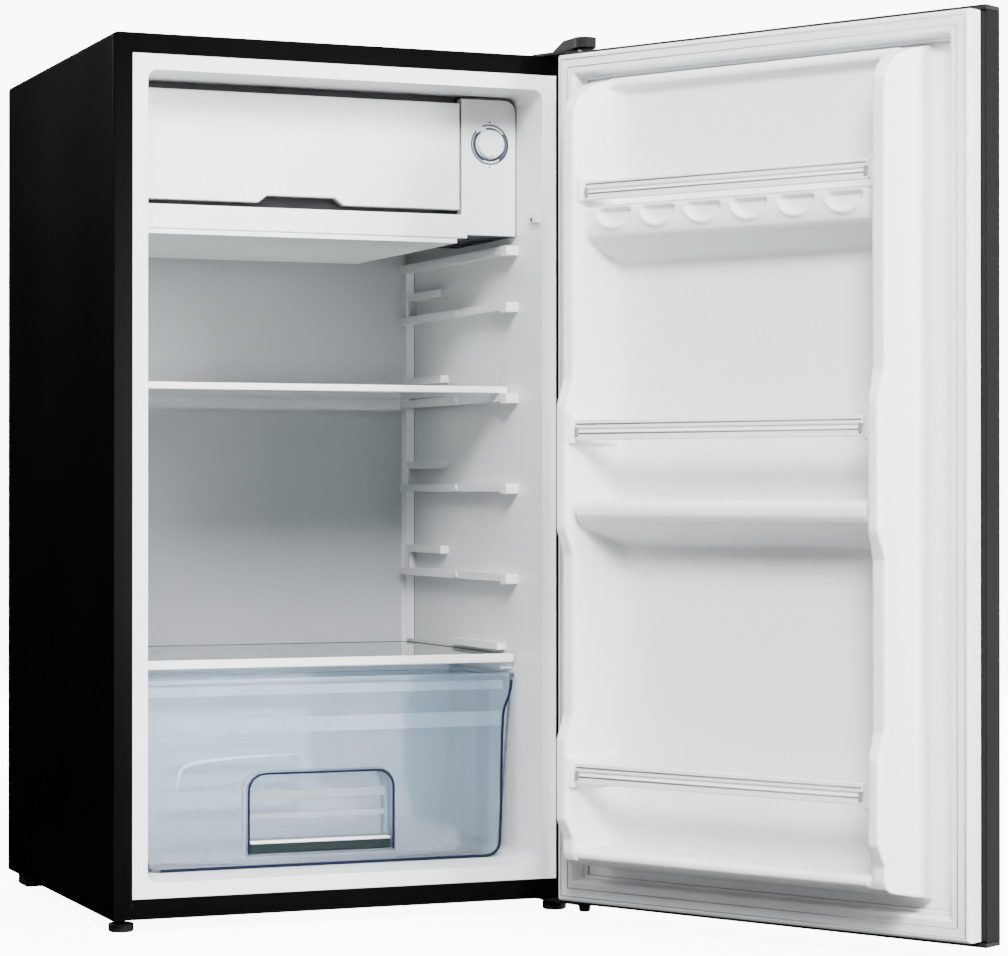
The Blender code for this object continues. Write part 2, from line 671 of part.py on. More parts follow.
def compressor():
    """Hermetic can on a pressed foot plate, with a welded seam round its middle."""
    centre = (235.0, 355.0, 0.0)
    profile = [(10.0, 22.0), (34.0, 23.5), (50.0, 30.0), (55.5, 42.0), (56.0, 86.0), (58.5, 86.5),
               (58.5, 90.5), (56.0, 91.0), (55.5, 128.0), (49.0, 146.0), (34.0, 156.0), (10.0, 158.5)]
    can = lathe("compressor", profile, centre, "z", 28, (1.25, 1.0))
    foot = box("foot", (142.0, 328.0), (308.0, 402.0), (15.0, 18.0))
    post = lathe("post", [(30.0, 16.0), (30.0, 30.0)], centre, "z", 20)
    join(can, foot, post)
    spots = [(x, y) for x in (152.0, 318.0) for y in (318.0, 392.0)]
    for x, y in spots:
        cut(can, lathe("hole", [(5.2, 10.0), (5.2, 22.0)], (x, y, 0.0), "z", 16))
    profile = [(4.8, 21.0), (8.0, 21.0), (8.0, 18.4), (4.8, 18.4), (4.8, 14.6), (9.0, 14.6),
               (9.0, 1.5 + GAP), (4.0, 1.5 + GAP)]
    grommet = lathe("grommet", profile, (0.0, 0.0, 0.0), "z", 16)
    copies(grommet, [(f"compressor_grommet_{n + 1}", (x, y, 0.0), 0.0)
                     for n, (x, y) in enumerate(spots)], "black_rubber")
    keep(tidy(can), "black_steel")


def start_relay():
    relay = box("start_relay", (309.0, 340.0), (332.0, 378.0), (62.0, 112.0))
    soften(relay, 3.0, lambda a, b: min(a.x, b.x) > 330)
    keep(relay, "black_plastic")


def evaporation_pan():
    pan = prism("evaporation_pan", rounded((175.0, 295.0), (306.0, 404.0), 8.0, 3), "z", 160.0, 182.0)
    inner = rounded((177.0, 293.0), (308.0, 402.0), 6.0, 3)
    cut(pan, prism("inside", inner, "z", 162.0, 190.0))
    keep(tidy(pan), "black_plastic")


def condenser_coil():
    """Hot-wall tube: up and down inside the left side, across the bay, then the right side."""
    left = 4.6
    right = WIDTH - left
    points = [(170.0, 384.0, 120.0), (130.0, 384.0, 150.0), (60.0, 384.0, 182.0),
              (left, 366.0, 182.0), (left, 366.0, 770.0)]
    columns = (320.0, 270.0, 220.0, 170.0, 120.0, 70.0)
    heights = (770.0, 225.0)
    points += [(left, y, heights[(n + k) % 2]) for n, y in enumerate(columns) for k in (0, 1)]
    points += [(left, 50.0, 225.0), (left, 50.0, 215.0), (left, 342.0, 215.0), (left, 342.0, 190.0),
               (30.0, 342.0, 190.0), (WIDTH - 30.0, 300.0, 190.0), (right, 342.0, 190.0),
               (right, 342.0, 770.0)]
    points += [(right, y, heights[(n + k) % 2]) for n, y in enumerate((290.0, 240.0, 190.0, 140.0,
                                                                       90.0)) for k in (0, 1)]
    points += [(right, 60.0, 225.0), (right, 60.0, 212.0), (right, 362.0, 212.0),
               (right, 362.0, 160.0), (400.0, 380.0, 150.0), (370.0, 392.0, 140.0)]
    keep(pipe("condenser_coil", points, 2.4, bend=12.0), "copper")


def refrigerant_parts():
    profile = [(2.4, 0.0), (2.6, 4.0), (9.0, 12.0), (9.0, 82.0), (2.6, 92.0), (2.0, 100.0)]
    keep(lathe("filter_drier", profile, (366.0, 398.0, 36.0), "z", 14), "copper")
    capillary = [(366.0, 398.0, 36.0 + 100.0 + GAP), (366.0, 398.0, 165.0), (300.0, 421.0, 188.0),
                 (241.0, 421.0, 188.0), (241.0, 421.0, 741.0), (241.0, 400.0, 741.0),
                 (241.0, 374.0, 741.0)]
    keep(pipe("capillary_tube", capillary, 1.1), "copper")
    suction = [(150.0, 384.0, 90.0), (120.0, 400.0, 110.0), (120.0, 418.0, 172.0),
               (200.0, 421.5, 176.0), (233.0, 421.5, 180.0), (233.0, 421.5, 741.0),
               (233.0, 400.0, 741.0), (233.0, 374.0, 741.0)]
    keep(pipe("suction_line", suction, 3.4, 10.0), "copper")
    drain = [(105.0, 257.0, STEP_TOP - LINER - GAP - 0.5), (105.0, 257.0, 196.0)]
    keep(pipe("drain_tube", drain, 4.0), "black_plastic")


def cord_gland():
    """Bush for the supply lead, in the rear edge of the compressor tray."""
    near, far = DEPTH - 5.5 - GAP, DEPTH - 4.0 + GAP
    profile = [(5.0, near - 2.5), (12.0, near - 2.5), (12.0, near), (9.0, near), (9.0, far),
               (12.0, far), (12.0, far + 2.5), (5.0, far + 2.5)]
    keep(sleeve("cord_gland", profile, (405.0, 0.0, 27.0), "y", 20), "black_plastic")


# ---------------------------------------------------------------- hinges and feet

def round_pin(radius, start, end, steps=8):
    """Arc about the pin axis, seen from above, from one angle to another in degrees."""
    angles = [math.radians(start + (end - start) * i / steps) for i in range(steps + 1)]
    return [(PIVOT[0] + radius * math.cos(t), PIVOT[1] + radius * math.sin(t)) for t in angles]


def upper_hinge():
    """Steel plate on the cabinet's top with the pin that the door hangs on, and its cover."""
    px, py = PIVOT
    low = HEIGHT + GAP
    outline = [(466.0, 46.0), (432.0, 46.0), (432.0, 12.0)] + round_pin(7.0, 150, 330)
    plate = prism("upper_hinge", outline, "z", low, low + 2.5)
    pin = lathe("pin", [(PIN_RADIUS, DOOR_HIGH - 10.0), (PIN_RADIUS, low + 2.0)], (px, py, 0.0))
    join(plate, pin)
    keep(tidy(plate), "black_steel")
    outer = [(468.0, 7.0), (449.0, 7.0)] + round_pin(11.5, 160, 360)
    inner = [(466.6, 20.0), (450.6, 20.0)] + round_pin(9.8, 160, 360)
    base = low + 2.5 + GAP
    cover = prism("hinge_cover", outer, "z", base, low + 13.0)
    slope = prism("slope", [(-18.0, low + 13.2), (8.0, base + 1.5), (8.0, low + 20), (-18.0, low + 20)],
                  "x", 430.0, 480.0)
    room = prism("room", [(-60.0, base - 5), (20.0, base - 5), (-18.0, low + 11.2), (-60.0, low + 11.2)],
                 "x", 430.0, 480.0)
    hollow = prism("hollow", inner, "z", base - 5, low + 11.2)
    combine(hollow, room, "INTERSECT")
    cut(cover, slope, hollow)
    keep(tidy(cover), "black_plastic")


def lower_hinge():
    """Bracket under the front right corner that carries the lower pin and one foot."""
    px, py = PIVOT
    outline = [(468.0, 46.0), (440.0, 46.0), (440.0, 4.0)] + round_pin(7.0, 150, 360)
    plate = prism("lower_hinge", outline, "z", -3.3, -GAP)
    pin = lathe("pin", [(PIN_RADIUS, -1.0), (PIN_RADIUS, DOOR_LOW + 10.0)], (px, py, 0.0))
    nut = lathe("nut", [(4.5, -9.0), (5.5, -8.0), (6.0, -3.0)], (px, py, 0.0), "z", 12)
    join(plate, pin, nut)
    x, y = FRONT_FEET["front_foot_right"]
    cut(plate, lathe("hole", [(5.0, -9.0), (5.0, 3.0)], (x, y, 0.0)))
    keep(tidy(plate), "black_steel")


def feet():
    """Turned levelling feet in front, whose origins are on their screws, and plain blocks behind."""
    r = FOOT_RADIUS
    profile = [(r - 1.5, -FOOT), (r, -FOOT + 1.0), (r, -5.5), (r - 1.0, -4.8), (4.0, -4.8), (4.0, 12.0)]
    foot = lathe("foot", profile, (0.0, 0.0, 0.0))
    copies(foot, [(name, (x, y, 0.0), 0.0) for name, (x, y) in FRONT_FEET.items()], "black_plastic")
    for name, x in (("rear_foot_left", 6.0), ("rear_foot_right", WIDTH - 26.0)):
        block = box(name, (x, x + 20.0), (374.0, 408.0), (-FOOT, -GAP))
        soften(block, 2.0, lambda a, b: max(a.z, b.z) < -FOOT + 1)
        keep(block, "black_plastic")


# ---------------------------------------------------------------- door, as if closed

def skin_path(inset):
    """Outline of the folded door skin seen from above, from one return to the other."""
    r = DOOR_ROUND
    front = DOOR_OUTER
    points = [(6.0, DOOR_INNER - inset), (inset, DOOR_INNER - inset)]
    for cx, start, way in ((r, 180, 90), (WIDTH - r, 270, 90)):
        for i in range(5):
            t = math.radians(start + way * i / 4)
            points.append((cx + (r - inset) * math.cos(t), front + r + (r - inset) * math.sin(t)))
    points += [(WIDTH - inset, DOOR_INNER - inset), (WIDTH - 6.0, DOOR_INNER - inset)]
    return points


def door_skin():
    outline = skin_path(0.0) + skin_path(SHEET)[::-1]
    skin = prism("door_skin", outline, "z", DOOR_LOW + CAP + GAP, DOOR_HIGH - CAP - GAP)
    keep(skin, "black_steel", "door")


def door_cap(name, face, plug, bushing):
    """Plastic end cap with a plug that goes down inside the skin, and the hinge's bush."""
    outline = rounded((0.0, WIDTH), (DOOR_OUTER, DOOR_INNER + 6.0), DOOR_ROUND)
    outline = [(x, min(y, DOOR_INNER)) for x, y in outline]
    cap = prism(name, outline, "z", *face)
    join(cap, box("plug", (9.0, WIDTH - 16.0), (DOOR_OUTER + 2.0, DOOR_INNER - 2.6), plug))
    px, py = PIVOT
    cut(cap, lathe("hole", [(4.1, face[0] - 3), (4.1, face[1] + 3)], (px, py, 0.0), "z"))
    tidy(cap)
    low, high = bushing
    bush = sleeve(name.replace("door_cap", "hinge_bush"),
                  [(2.6, low), (3.8, low), (3.8, high), (2.6, high)], (px, py, 0.0), "z")
    keep(cap, "black_plastic", "door")
    keep(bush, "black_plastic", "door")


def door_caps():
    low, high = DOOR_LOW, DOOR_HIGH
    door_cap("door_cap_top", (high - CAP, high), (high - 12.0, high - CAP + 0.5),
             (high - 11.0, high - 0.2))
    door_cap("door_cap_bottom", (low, low + CAP), (low + CAP - 0.5, low + 12.0),
             (low + 0.2, low + 11.0))


def fin_outline(inset):
    """Side wall of the door liner seen from its side, as (z, height above the flange)."""
    points = [(39.0, -LINER), (39.0, 0.0), (50.0, 64.0), (54.0, 73.0), (61.0, DYKE), (74.0, DYKE),
              (94.0, BULGE), (168.0, BULGE), (191.0, DYKE), (342.0, DYKE), (367.0, BULGE),
              (482.0, BULGE), (508.0, DYKE), (748.0, DYKE), (763.0, 75.0), (776.0, 66.0),
              (786.0, 52.0), (792.0, 34.0), (796.5, 14.0), (798.5, 0.0), (798.5, -LINER)]
    if not inset:
        return points
    low, high = 39.0 + inset, 798.5 - inset
    return [(min(max(z, low), high), n - inset if n > 1 else n - 2) for z, n in points]


def fin(name, side, inset=0.0):
    """One side wall: nearly upright outside, sloping inside. side is 1 at the free edge."""
    def edge(base, slope, z, n):
        u = base + slope * n
        x = u if side == 1 else WIDTH - u
        return (x, DOOR_INNER + n, z)
    outline = fin_outline(inset)
    outer = [edge(54.0 + inset, 2.0 / DYKE, z, n) for z, n in outline]
    inner = [edge(84.0 - inset, -14.0 / DYKE, z, n) for z, n in outline]
    return loft(name, outer, inner)


def bar(name, outline):
    """A shelf or bar of the door liner, given as (z, height) pairs, from fin to fin."""
    shape = [(DOOR_INNER + n, z) for z, n in outline]
    return prism(name, shape, "x", 75.0, WIDTH - 75.0)


def door_liner():
    edge = 6.0 + GAP
    z = (DOOR_LOW + CAP + GAP, DOOR_HIGH - CAP - GAP)
    liner = box("door_liner", (edge, WIDTH - edge), (DOOR_INNER - LINER, DOOR_INNER), z)
    panel = [(45.0, -0.6), (55.0, FLOOR), (788.0, FLOOR), (796.0, -0.6)]
    join(liner, bar("panel", panel))
    top = [(798.0, -0.6), (796.0, 24.0), (792.0, 31.0), (787.0, 31.0), (778.0, FLOOR - 1), (770.0, -0.6)]
    middle = [(352.0, FLOOR - 1), (374.0, 74.0), (377.5, 78.5), (382.0, 80.0), (390.0, 80.0),
              (393.5, 77.0), (394.5, 72.0), (394.5, FLOOR - 1)]
    low = [(39.5, -0.6), (50.5, 64.0), (53.5, 72.0), (58.0, 76.5), (62.0, 76.5), (65.0, 73.0),
           (66.0, 68.0), (66.0, -0.6)]
    eggs = [(617.0, FLOOR - 1), (640.0, 60.0), (644.0, 62.5), (668.0, 62.5), (671.0, 60.0),
            (671.0, FLOOR - 1)]
    egg_shelf = bar("eggs", eggs)
    for n in range(6):
        x = 107.0 + n * 51.2
        scoop = [(22.0 * math.cos(t), -12.0 * math.sin(t)) for t in
                 [math.radians(90 * i / 4) for i in range(4)]] + [(1.0, -12.0)]
        dip = lathe("dip", scoop, (x, DOOR_INNER + 62.5, 659.0), "z", 18, (1.0, 0.45))
        combine(egg_shelf, dip)
    for shape in (bar("top", top), bar("middle", middle), bar("low", low), egg_shelf):
        join(liner, shape)
    for side in (1, -1):
        wall = fin("wall", side)
        soften(wall, 3.0, lambda a, b: min(a.y, b.y) > DOOR_INNER + 5 and abs(a.x - b.x) < 3)
        join(liner, wall)
        for low_z, high_z, reach in ((675.0, 698.0, 73.0), (447.0, 476.0, 83.5), (124.0, 152.0, 83.5)):
            join(liner, rack_boss(side, low_z, high_z, reach))
    for side in (1, -1):
        hollow = fin("hollow", side, LINER + GAP)
        cut(liner, hollow)
    keep(tidy(liner), "white_plastic", "door")


def rack_boss(side, low, high, reach):
    """Pad on a side wall's inner face that holds the end of a rack rail."""
    def edge(u, n):
        return (u if side == 1 else WIDTH - u, DOOR_INNER + n)
    slope = 14.0 / DYKE
    outline = [edge(80.0 - slope * FLOOR, FLOOR - 4.0), edge(91.0 - slope * FLOOR, FLOOR - 4.0),
               edge(89.0 - slope * reach, reach), edge(80.0 - slope * reach, reach)]
    return prism("pad", outline, "z", low, high)


def door_foam():
    skin = SHEET + GAP
    r = DOOR_ROUND - skin
    outline = [(skin, DOOR_INNER - LINER - GAP)]
    for cx, start in ((skin + r, 180), (WIDTH - skin - r, 270)):
        for i in range(5):
            t = math.radians(start + 90 * i / 4)
            outline.append((cx + r * math.cos(t), DOOR_OUTER + skin + r + r * math.sin(t)))
    outline.append((WIDTH - skin, DOOR_INNER - LINER - GAP))
    foam = prism("door_foam", outline, "z", DOOR_LOW + 12.5, DOOR_HIGH - 12.5)
    for side in (1, -1):
        join(foam, fin("fill", side, LINER + 2 * GAP))
    keep(tidy(foam), "foam", "door")


def door_frame(name, inset, y):
    """Flat frame round the door's inner face, between two distances from the door's edge."""
    near, far = inset
    ring = box(name, (near, WIDTH - near), y, (DOOR_LOW + near, DOOR_HIGH - near))
    hole = box("hole", (far, WIDTH - far), (y[0] - 5, y[1] + 5), (DOOR_LOW + far, DOOR_HIGH - far))
    return cut(ring, hole)


def door_gasket():
    """Magnetic seal: a broad face, and a thin flap towards the inside."""
    base = DOOR_INNER + 0.2
    seal = door_frame("door_gasket", (5.0, 26.0), (base, base + 19.0))
    soften(seal, 2.5, lambda a, b: min(a.y, b.y) > base + 18.0, 1)
    flap = door_frame("flap", (25.0, 29.5), (base, base + 4.5))
    soften(flap, 2.0, lambda a, b: min(a.y, b.y) > base + 4.0 and min(a.x, WIDTH - a.x, a.z,
                                                                      DOOR_HIGH - a.z) > 28.0, 1)
    join(seal, flap)
    keep(tidy(seal), "white_rubber", "door")


def rack_rails():
    """Bars across the door racks, each with a groove along its front."""
    slope = 14.0 / DYKE
    for name, low, high, front in (("rack_rail_top", 676.0, 694.0, 69.0),
                                   ("rack_rail_middle", 450.0, 469.0, 81.0),
                                   ("rack_rail_bottom", 128.0, 147.0, 81.0)):
        end = 89.0 - slope * front + 2.0
        middle = 0.5 * (low + high)
        y = DOOR_INNER + front
        outline = [(y, low), (y, middle - 1.5), (y - 1.5, middle - 1.0), (y - 1.5, middle + 1.0),
                   (y, middle + 1.5), (y, high), (y - 5.0, high), (y - 5.0, low)]
        keep(prism(name, outline, "x", end, WIDTH - end), "white_plastic", "door")


# ---------------------------------------------------------------- assembly

def stand_at_origin():
    """Put the origin at the middle of the base of everything at rest."""
    bpy.context.view_layer.update()
    parts = [thing for thing in collection("compact_refrigerator").objects if thing.type == "MESH"]
    points = [thing.matrix_world @ vertex.co for thing in parts for vertex in thing.data.vertices]
    low = [min(point[i] for point in points) for i in range(3)]
    high = [max(point[i] for point in points) for i in range(3)]
    shift = (-(low[0] + high[0]) / 2, -(low[1] + high[1]) / 2, -low[2])
    bpy.data.objects["cabinet"].location = shift


def build_all():
    clear_scene()
    holders()
    for make in (outer_shell, front_bottom_rail, base_pan, back_panel, cabinet_foam, inner_liner,
                 mouth_plug, evaporator, freezer_door, drip_tray, thermostat_housing,
                 thermostat_control, sensor_tube, thermostat_knob, shelf, crisper_lid,
                 crisper_drawer, compressor_tray, compressor, start_relay, evaporation_pan,
                 condenser_coil, refrigerant_parts, cord_gland, upper_hinge, lower_hinge, screws,
                 feet, door_skin, door_caps, door_liner, door_foam, door_gasket, rack_rails):
        make()
    stand_at_origin()


build_all()
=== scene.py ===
"""Looks of the compact refrigerator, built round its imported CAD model."""
import json
import math

import bmesh
import bpy
from mathutils import Matrix, Vector


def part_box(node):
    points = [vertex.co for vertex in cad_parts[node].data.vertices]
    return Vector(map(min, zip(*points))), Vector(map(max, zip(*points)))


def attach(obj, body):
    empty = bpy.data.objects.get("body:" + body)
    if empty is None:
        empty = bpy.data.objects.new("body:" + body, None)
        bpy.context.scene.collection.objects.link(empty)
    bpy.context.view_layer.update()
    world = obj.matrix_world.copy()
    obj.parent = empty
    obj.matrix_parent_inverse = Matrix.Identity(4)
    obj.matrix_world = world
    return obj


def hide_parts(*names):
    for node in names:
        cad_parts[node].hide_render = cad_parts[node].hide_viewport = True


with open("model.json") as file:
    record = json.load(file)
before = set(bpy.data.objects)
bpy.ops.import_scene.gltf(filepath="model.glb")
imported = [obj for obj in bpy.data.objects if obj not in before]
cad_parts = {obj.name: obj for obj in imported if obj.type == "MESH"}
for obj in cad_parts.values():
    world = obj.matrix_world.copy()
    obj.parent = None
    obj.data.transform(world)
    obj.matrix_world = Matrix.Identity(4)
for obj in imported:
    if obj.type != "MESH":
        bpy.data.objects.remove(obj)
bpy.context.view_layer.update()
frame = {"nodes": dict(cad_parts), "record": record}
NODES = frame["nodes"]
RECORD = frame["record"]
MM = 0.001

# ---------------------------------------------------------------- where things are

# Pieces are made in millimetres in the cabinet's own frame: x from its left side, y from its front
# plane towards the back, z from the underside of its shell, with the door shut.

SHELL_LOW, SHELL_HIGH = (Vector(corner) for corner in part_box("outer_shell"))
LINER_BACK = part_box("inner_liner")[1][1]
JOINTS = {joint["name"]: joint for joint in RECORD["behaviour"]["joints"]}
CABINET = Matrix.Translation(SHELL_LOW) @ Matrix.Scale(MM, 4)
PIN = Matrix.Translation(JOINTS["door_hinge"]["pos_m"])
DOOR_ANGLE = -math.radians(JOINTS["door_hinge"]["range_deg"][0])
DOOR = PIN @ Matrix.Rotation(DOOR_ANGLE, 4, "Z") @ PIN.inverted() @ CABINET
WIDTH = (SHELL_HIGH.x - SHELL_LOW.x) / MM


# ---------------------------------------------------------------- materials

class Shader:
    """A Principled material and short ways to add procedural detail to it."""

    def __init__(self, name, colour, roughness, metallic=0.0, **sockets):
        self.material = bpy.data.materials.new(name)
        self.material.use_nodes = True
        self.tree = self.material.node_tree
        self.shader = self.tree.nodes["Principled BSDF"]
        self.colour = colour
        self.set("Base Color", (*colour, 1.0))
        self.set("Roughness", roughness)
        self.set("Metallic", metallic)
        for socket, value in sockets.items():
            self.set(socket.replace("_", " "), value)
        self.coordinates = self.tree.nodes.new("ShaderNodeTexCoord").outputs["Object"]

    def set(self, socket, value):
        """Give one of the shader's own sockets a value."""
        self.shader.inputs[socket].default_value = value

    def noise(self, scale, detail=3.0):
        """Noise that sticks to the object, finer as its scale grows."""
        noise = self.tree.nodes.new("ShaderNodeTexNoise")
        noise.inputs["Scale"].default_value = scale
        noise.inputs["Detail"].default_value = detail
        self.tree.links.new(self.coordinates, noise.inputs["Vector"])
        return noise.outputs["Fac"]

    def along(self, axis, start, end):
        """Run from 0 to 1 between two places on an axis."""
        parts = self.tree.nodes.new("ShaderNodeSeparateXYZ")
        self.tree.links.new(self.coordinates, parts.inputs["Vector"])
        span = self.tree.nodes.new("ShaderNodeMapRange")
        span.inputs["From Min"].default_value = start
        span.inputs["From Max"].default_value = end
        self.tree.links.new(parts.outputs[axis], span.inputs["Value"])
        return span.outputs["Result"]

    def tint(self, factor, other, low=0.35, high=0.65):
        """Let a texture carry the colour from the material's own to another."""
        ramp = self.tree.nodes.new("ShaderNodeValToRGB")
        ramp.color_ramp.elements[0].position = low
        ramp.color_ramp.elements[0].color = (*self.colour, 1.0)
        ramp.color_ramp.elements[1].position = high
        ramp.color_ramp.elements[1].color = (*other, 1.0)
        self.tree.links.new(factor, ramp.inputs["Fac"])
        self.tree.links.new(ramp.outputs["Color"], self.shader.inputs["Base Color"])
        return self

    def gloss(self, factor, low, high):
        """Let a texture carry the roughness from low to high."""
        span = self.tree.nodes.new("ShaderNodeMapRange")
        span.inputs["To Min"].default_value = low
        span.inputs["To Max"].default_value = high
        self.tree.links.new(factor, span.inputs["Value"])
        self.tree.links.new(span.outputs["Result"], self.shader.inputs["Roughness"])
        return self

    def bump(self, factor, depth, strength):
        """Raise and lower the surface with a texture, by a depth in metres."""
        node = self.tree.nodes.new("ShaderNodeBump")
        node.inputs["Strength"].default_value = strength
        node.inputs["Distance"].default_value = depth
        self.tree.links.new(factor, node.inputs["Height"])
        self.tree.links.new(node.outputs["Normal"], self.shader.inputs["Normal"])
        return self


def black_steel():
    s = Shader("black_steel", (0.0008, 0.0008, 0.0009), 0.3, Specular_IOR_Level=0.2)
    s.tint(s.noise(3.0), (0.0011, 0.0011, 0.0012))
    s.gloss(s.noise(6.0), 0.26, 0.36)
    return s.bump(s.noise(420.0, 2.0), 0.0002, 0.12).material


# Shaded copy of the liners' white, darker than the door's copy: painted shade for the parts inside the
# cabinet.
def white_liner():
    s = Shader("white_liner", (0.72, 0.73, 0.74), 0.32, Specular_IOR_Level=0.4)
    s.tint(s.noise(4.0), (0.74, 0.75, 0.76))
    s.gloss(s.noise(18.0), 0.27, 0.38)
    return s.bump(s.noise(160.0, 2.0), 0.0003, 0.10).material


def liner_white_painted_depth_shade():
    """Liner white with painted shade: it greys towards the back, deep inside the cabinet."""
    s = Shader("liner_white_painted_depth_shade", (0.90, 0.905, 0.91), 0.32, Specular_IOR_Level=0.4)
    # painted shade: the white greys to (0.42, 0.43, 0.44) from the shell's front to the liner's back wall
    s.tint(s.along("Y", SHELL_LOW.y, LINER_BACK), (0.42, 0.43, 0.44), 0.05, 0.95)
    s.gloss(s.noise(18.0), 0.27, 0.38)
    return s.bump(s.noise(160.0, 2.0), 0.0003, 0.10).material


# painted shade: the back wall's sheet is darker below the shelf, where its shadow falls, and lighter
# above it
PLATE_FADE = (0.48, 0.56)      # heights between which the sheet on the back wall grows lighter


def plate_grey_painted_shade():
    """Grey sheet, lighter above the shelf: darker below it with painted shade from the shelf."""
    s = Shader("plate_grey_painted_shade", (0.27, 0.28, 0.30), 0.38, Specular_IOR_Level=0.4)
    # painted shade below the shelf, giving way to the lighter grey above it
    s.tint(s.along("Z", *PLATE_FADE), (0.43, 0.44, 0.46), 0.0, 1.0)
    s.gloss(s.noise(18.0), 0.33, 0.44)
    return s.bump(s.noise(160.0, 2.0), 0.0003, 0.10).material


def back_black():
    s = Shader("back_black", (0.012, 0.012, 0.013), 0.42, Specular_IOR_Level=0.4)
    s.tint(s.noise(5.0), (0.017, 0.017, 0.018))
    s.gloss(s.noise(12.0), 0.36, 0.48)
    return s.bump(s.noise(500.0, 2.0), 0.0002, 0.15).material


def door_white_painted_light():
    # painted light: the liners' white, lighter on the door than the copy used inside the cabinet
    s = Shader("door_white_painted_light", (0.85, 0.855, 0.86), 0.32, Specular_IOR_Level=0.4)
    s.tint(s.noise(4.0), (0.87, 0.875, 0.88))
    s.gloss(s.noise(18.0), 0.27, 0.38)
    return s.bump(s.noise(160.0, 2.0), 0.0003, 0.08).material


def tinted(name, colour, roughness, **sockets):
    """Plain coloured plastic with a fine grain."""
    s = Shader(name, colour, roughness, **sockets)
    s.tint(s.noise(24.0), tuple(1.15 * part for part in colour))
    s.gloss(s.noise(50.0), roughness - 0.05, roughness + 0.05)
    return s.bump(s.noise(700.0, 2.0), 0.0001, 0.12).material


def white_plastic():
    s = Shader("white_plastic", (0.86, 0.865, 0.87), 0.3, Specular_IOR_Level=0.45)
    s.tint(s.noise(9.0), (0.88, 0.885, 0.89))
    s.gloss(s.noise(30.0), 0.25, 0.36)
    return s.bump(s.noise(500.0, 2.0), 0.0001, 0.10).material


def white_rubber():
    s = Shader("white_rubber", (0.74, 0.75, 0.76), 0.55, Specular_IOR_Level=0.3)
    s.tint(s.noise(25.0), (0.78, 0.79, 0.80))
    s.gloss(s.noise(60.0), 0.48, 0.62)
    return s.bump(s.noise(700.0, 3.0), 0.0001, 0.2).material


def black_plastic():
    s = Shader("black_plastic", (0.010, 0.010, 0.011), 0.42)
    s.tint(s.noise(40.0), (0.016, 0.016, 0.017))
    s.gloss(s.noise(90.0), 0.36, 0.52)
    return s.bump(s.noise(1400.0, 2.0), 0.0001, 0.25).material


def black_rubber():
    s = Shader("black_rubber", (0.018, 0.018, 0.018), 0.75, Specular_IOR_Level=0.3)
    s.tint(s.noise(60.0), (0.03, 0.03, 0.03))
    return s.bump(s.noise(900.0, 3.0), 0.0002, 0.3).material


def metal(name, colour, other, low, high, scale=30.0):
    """Bare metal mottled between two colours, its roughness running from low to high."""
    s = Shader(name, colour, low, metallic=1.0)
    s.tint(s.noise(scale, 4.0), other)
    s.gloss(s.noise(scale * 2.0), low, high)
    return s.bump(s.noise(scale * 14.0, 2.0), 0.0001, 0.12).material


def foam():
    s = Shader("foam", (0.72, 0.60, 0.34), 0.9, Specular_IOR_Level=0.1)
    s.tint(s.noise(35.0, 5.0), (0.82, 0.72, 0.46))
    return s.bump(s.noise(240.0, 5.0), 0.0012, 0.6).material


def clear_plastic():
    s = Shader("clear_plastic", (0.70, 0.80, 0.90), 0.06, Transmission_Weight=0.92, IOR=1.49)
    s.tint(s.noise(6.0), (0.74, 0.83, 0.92))
    s.gloss(s.noise(20.0), 0.04, 0.10)
    return s.bump(s.noise(60.0, 2.0), 0.0002, 0.08).material


def shelf_glass():
    s = Shader("shelf_glass", (0.86, 0.94, 0.92), 0.02, Transmission_Weight=0.95, IOR=1.5)
    s.tint(s.noise(5.0), (0.88, 0.95, 0.93))
    s.gloss(s.noise(15.0), 0.01, 0.05)
    return s.bump(s.noise(20.0, 1.0), 0.0001, 0.04).material


def painted_black(name, low, high):
    """Gloss black paint, its roughness running from low to high."""
    s = Shader(name, (0.008, 0.008, 0.009), low)
    s.tint(s.noise(20.0), (0.014, 0.014, 0.015))
    s.gloss(s.noise(45.0), low, high)
    return s.bump(s.noise(600.0, 2.0), 0.0001, 0.15).material


MATERIALS = {
    "black_steel": black_steel(),
    "zinc_steel": metal("zinc_steel", (0.48, 0.49, 0.50), (0.60, 0.61, 0.62), 0.32, 0.50),
    "screw_steel": metal("screw_steel", (0.42, 0.42, 0.43), (0.56, 0.56, 0.57), 0.25, 0.40, scale=90.0),
    "hinge_steel": painted_black("hinge_steel", 0.28, 0.40),
    "foam": foam(),
    "white_liner": white_liner(),
    "white_plastic": white_plastic(),
    "black_plastic": black_plastic(),
    "evaporator_sheet": metal("evaporator_sheet", (0.66, 0.68, 0.70), (0.74, 0.76, 0.78), 0.38, 0.55),
    "compressor_paint": painted_black("compressor_paint", 0.16, 0.28),
    "copper": metal("copper", (0.62, 0.28, 0.16), (0.74, 0.40, 0.25), 0.28, 0.45, scale=50.0),
    "black_rubber": black_rubber(),
    "white_rubber": white_rubber(),
    "clear_plastic": clear_plastic(),
    "shelf_glass": shelf_glass(),
}


def dress(thing, slot):
    """Give an object the material of its slot."""
    thing.data.materials.clear()
    thing.data.materials.append(MATERIALS[slot])


# ---------------------------------------------------------------- CAD nodes

# Widths of the rounded edges, in millimetres.
EDGE_WIDTHS = {"door_liner": 1.4, "inner_liner": 1.2, "door_gasket": 1.5, "thermostat_housing": 1.5,
               "freezer_door": 0.8, "drip_tray": 0.8, "crisper_drawer": 0.7, "hinge_cover": 1.2,
               "rack_rail_top": 0.7, "rack_rail_middle": 0.7, "rack_rail_bottom": 0.7}
PLAIN_EDGE = 0.35
EDGE_STEPS = 3
SHARP = math.radians(32.0)     # an edge that turns more than this is rounded
FLAT = math.radians(0.6)       # faces that turn less than this are joined
WELD = 0.00001                 # in metres


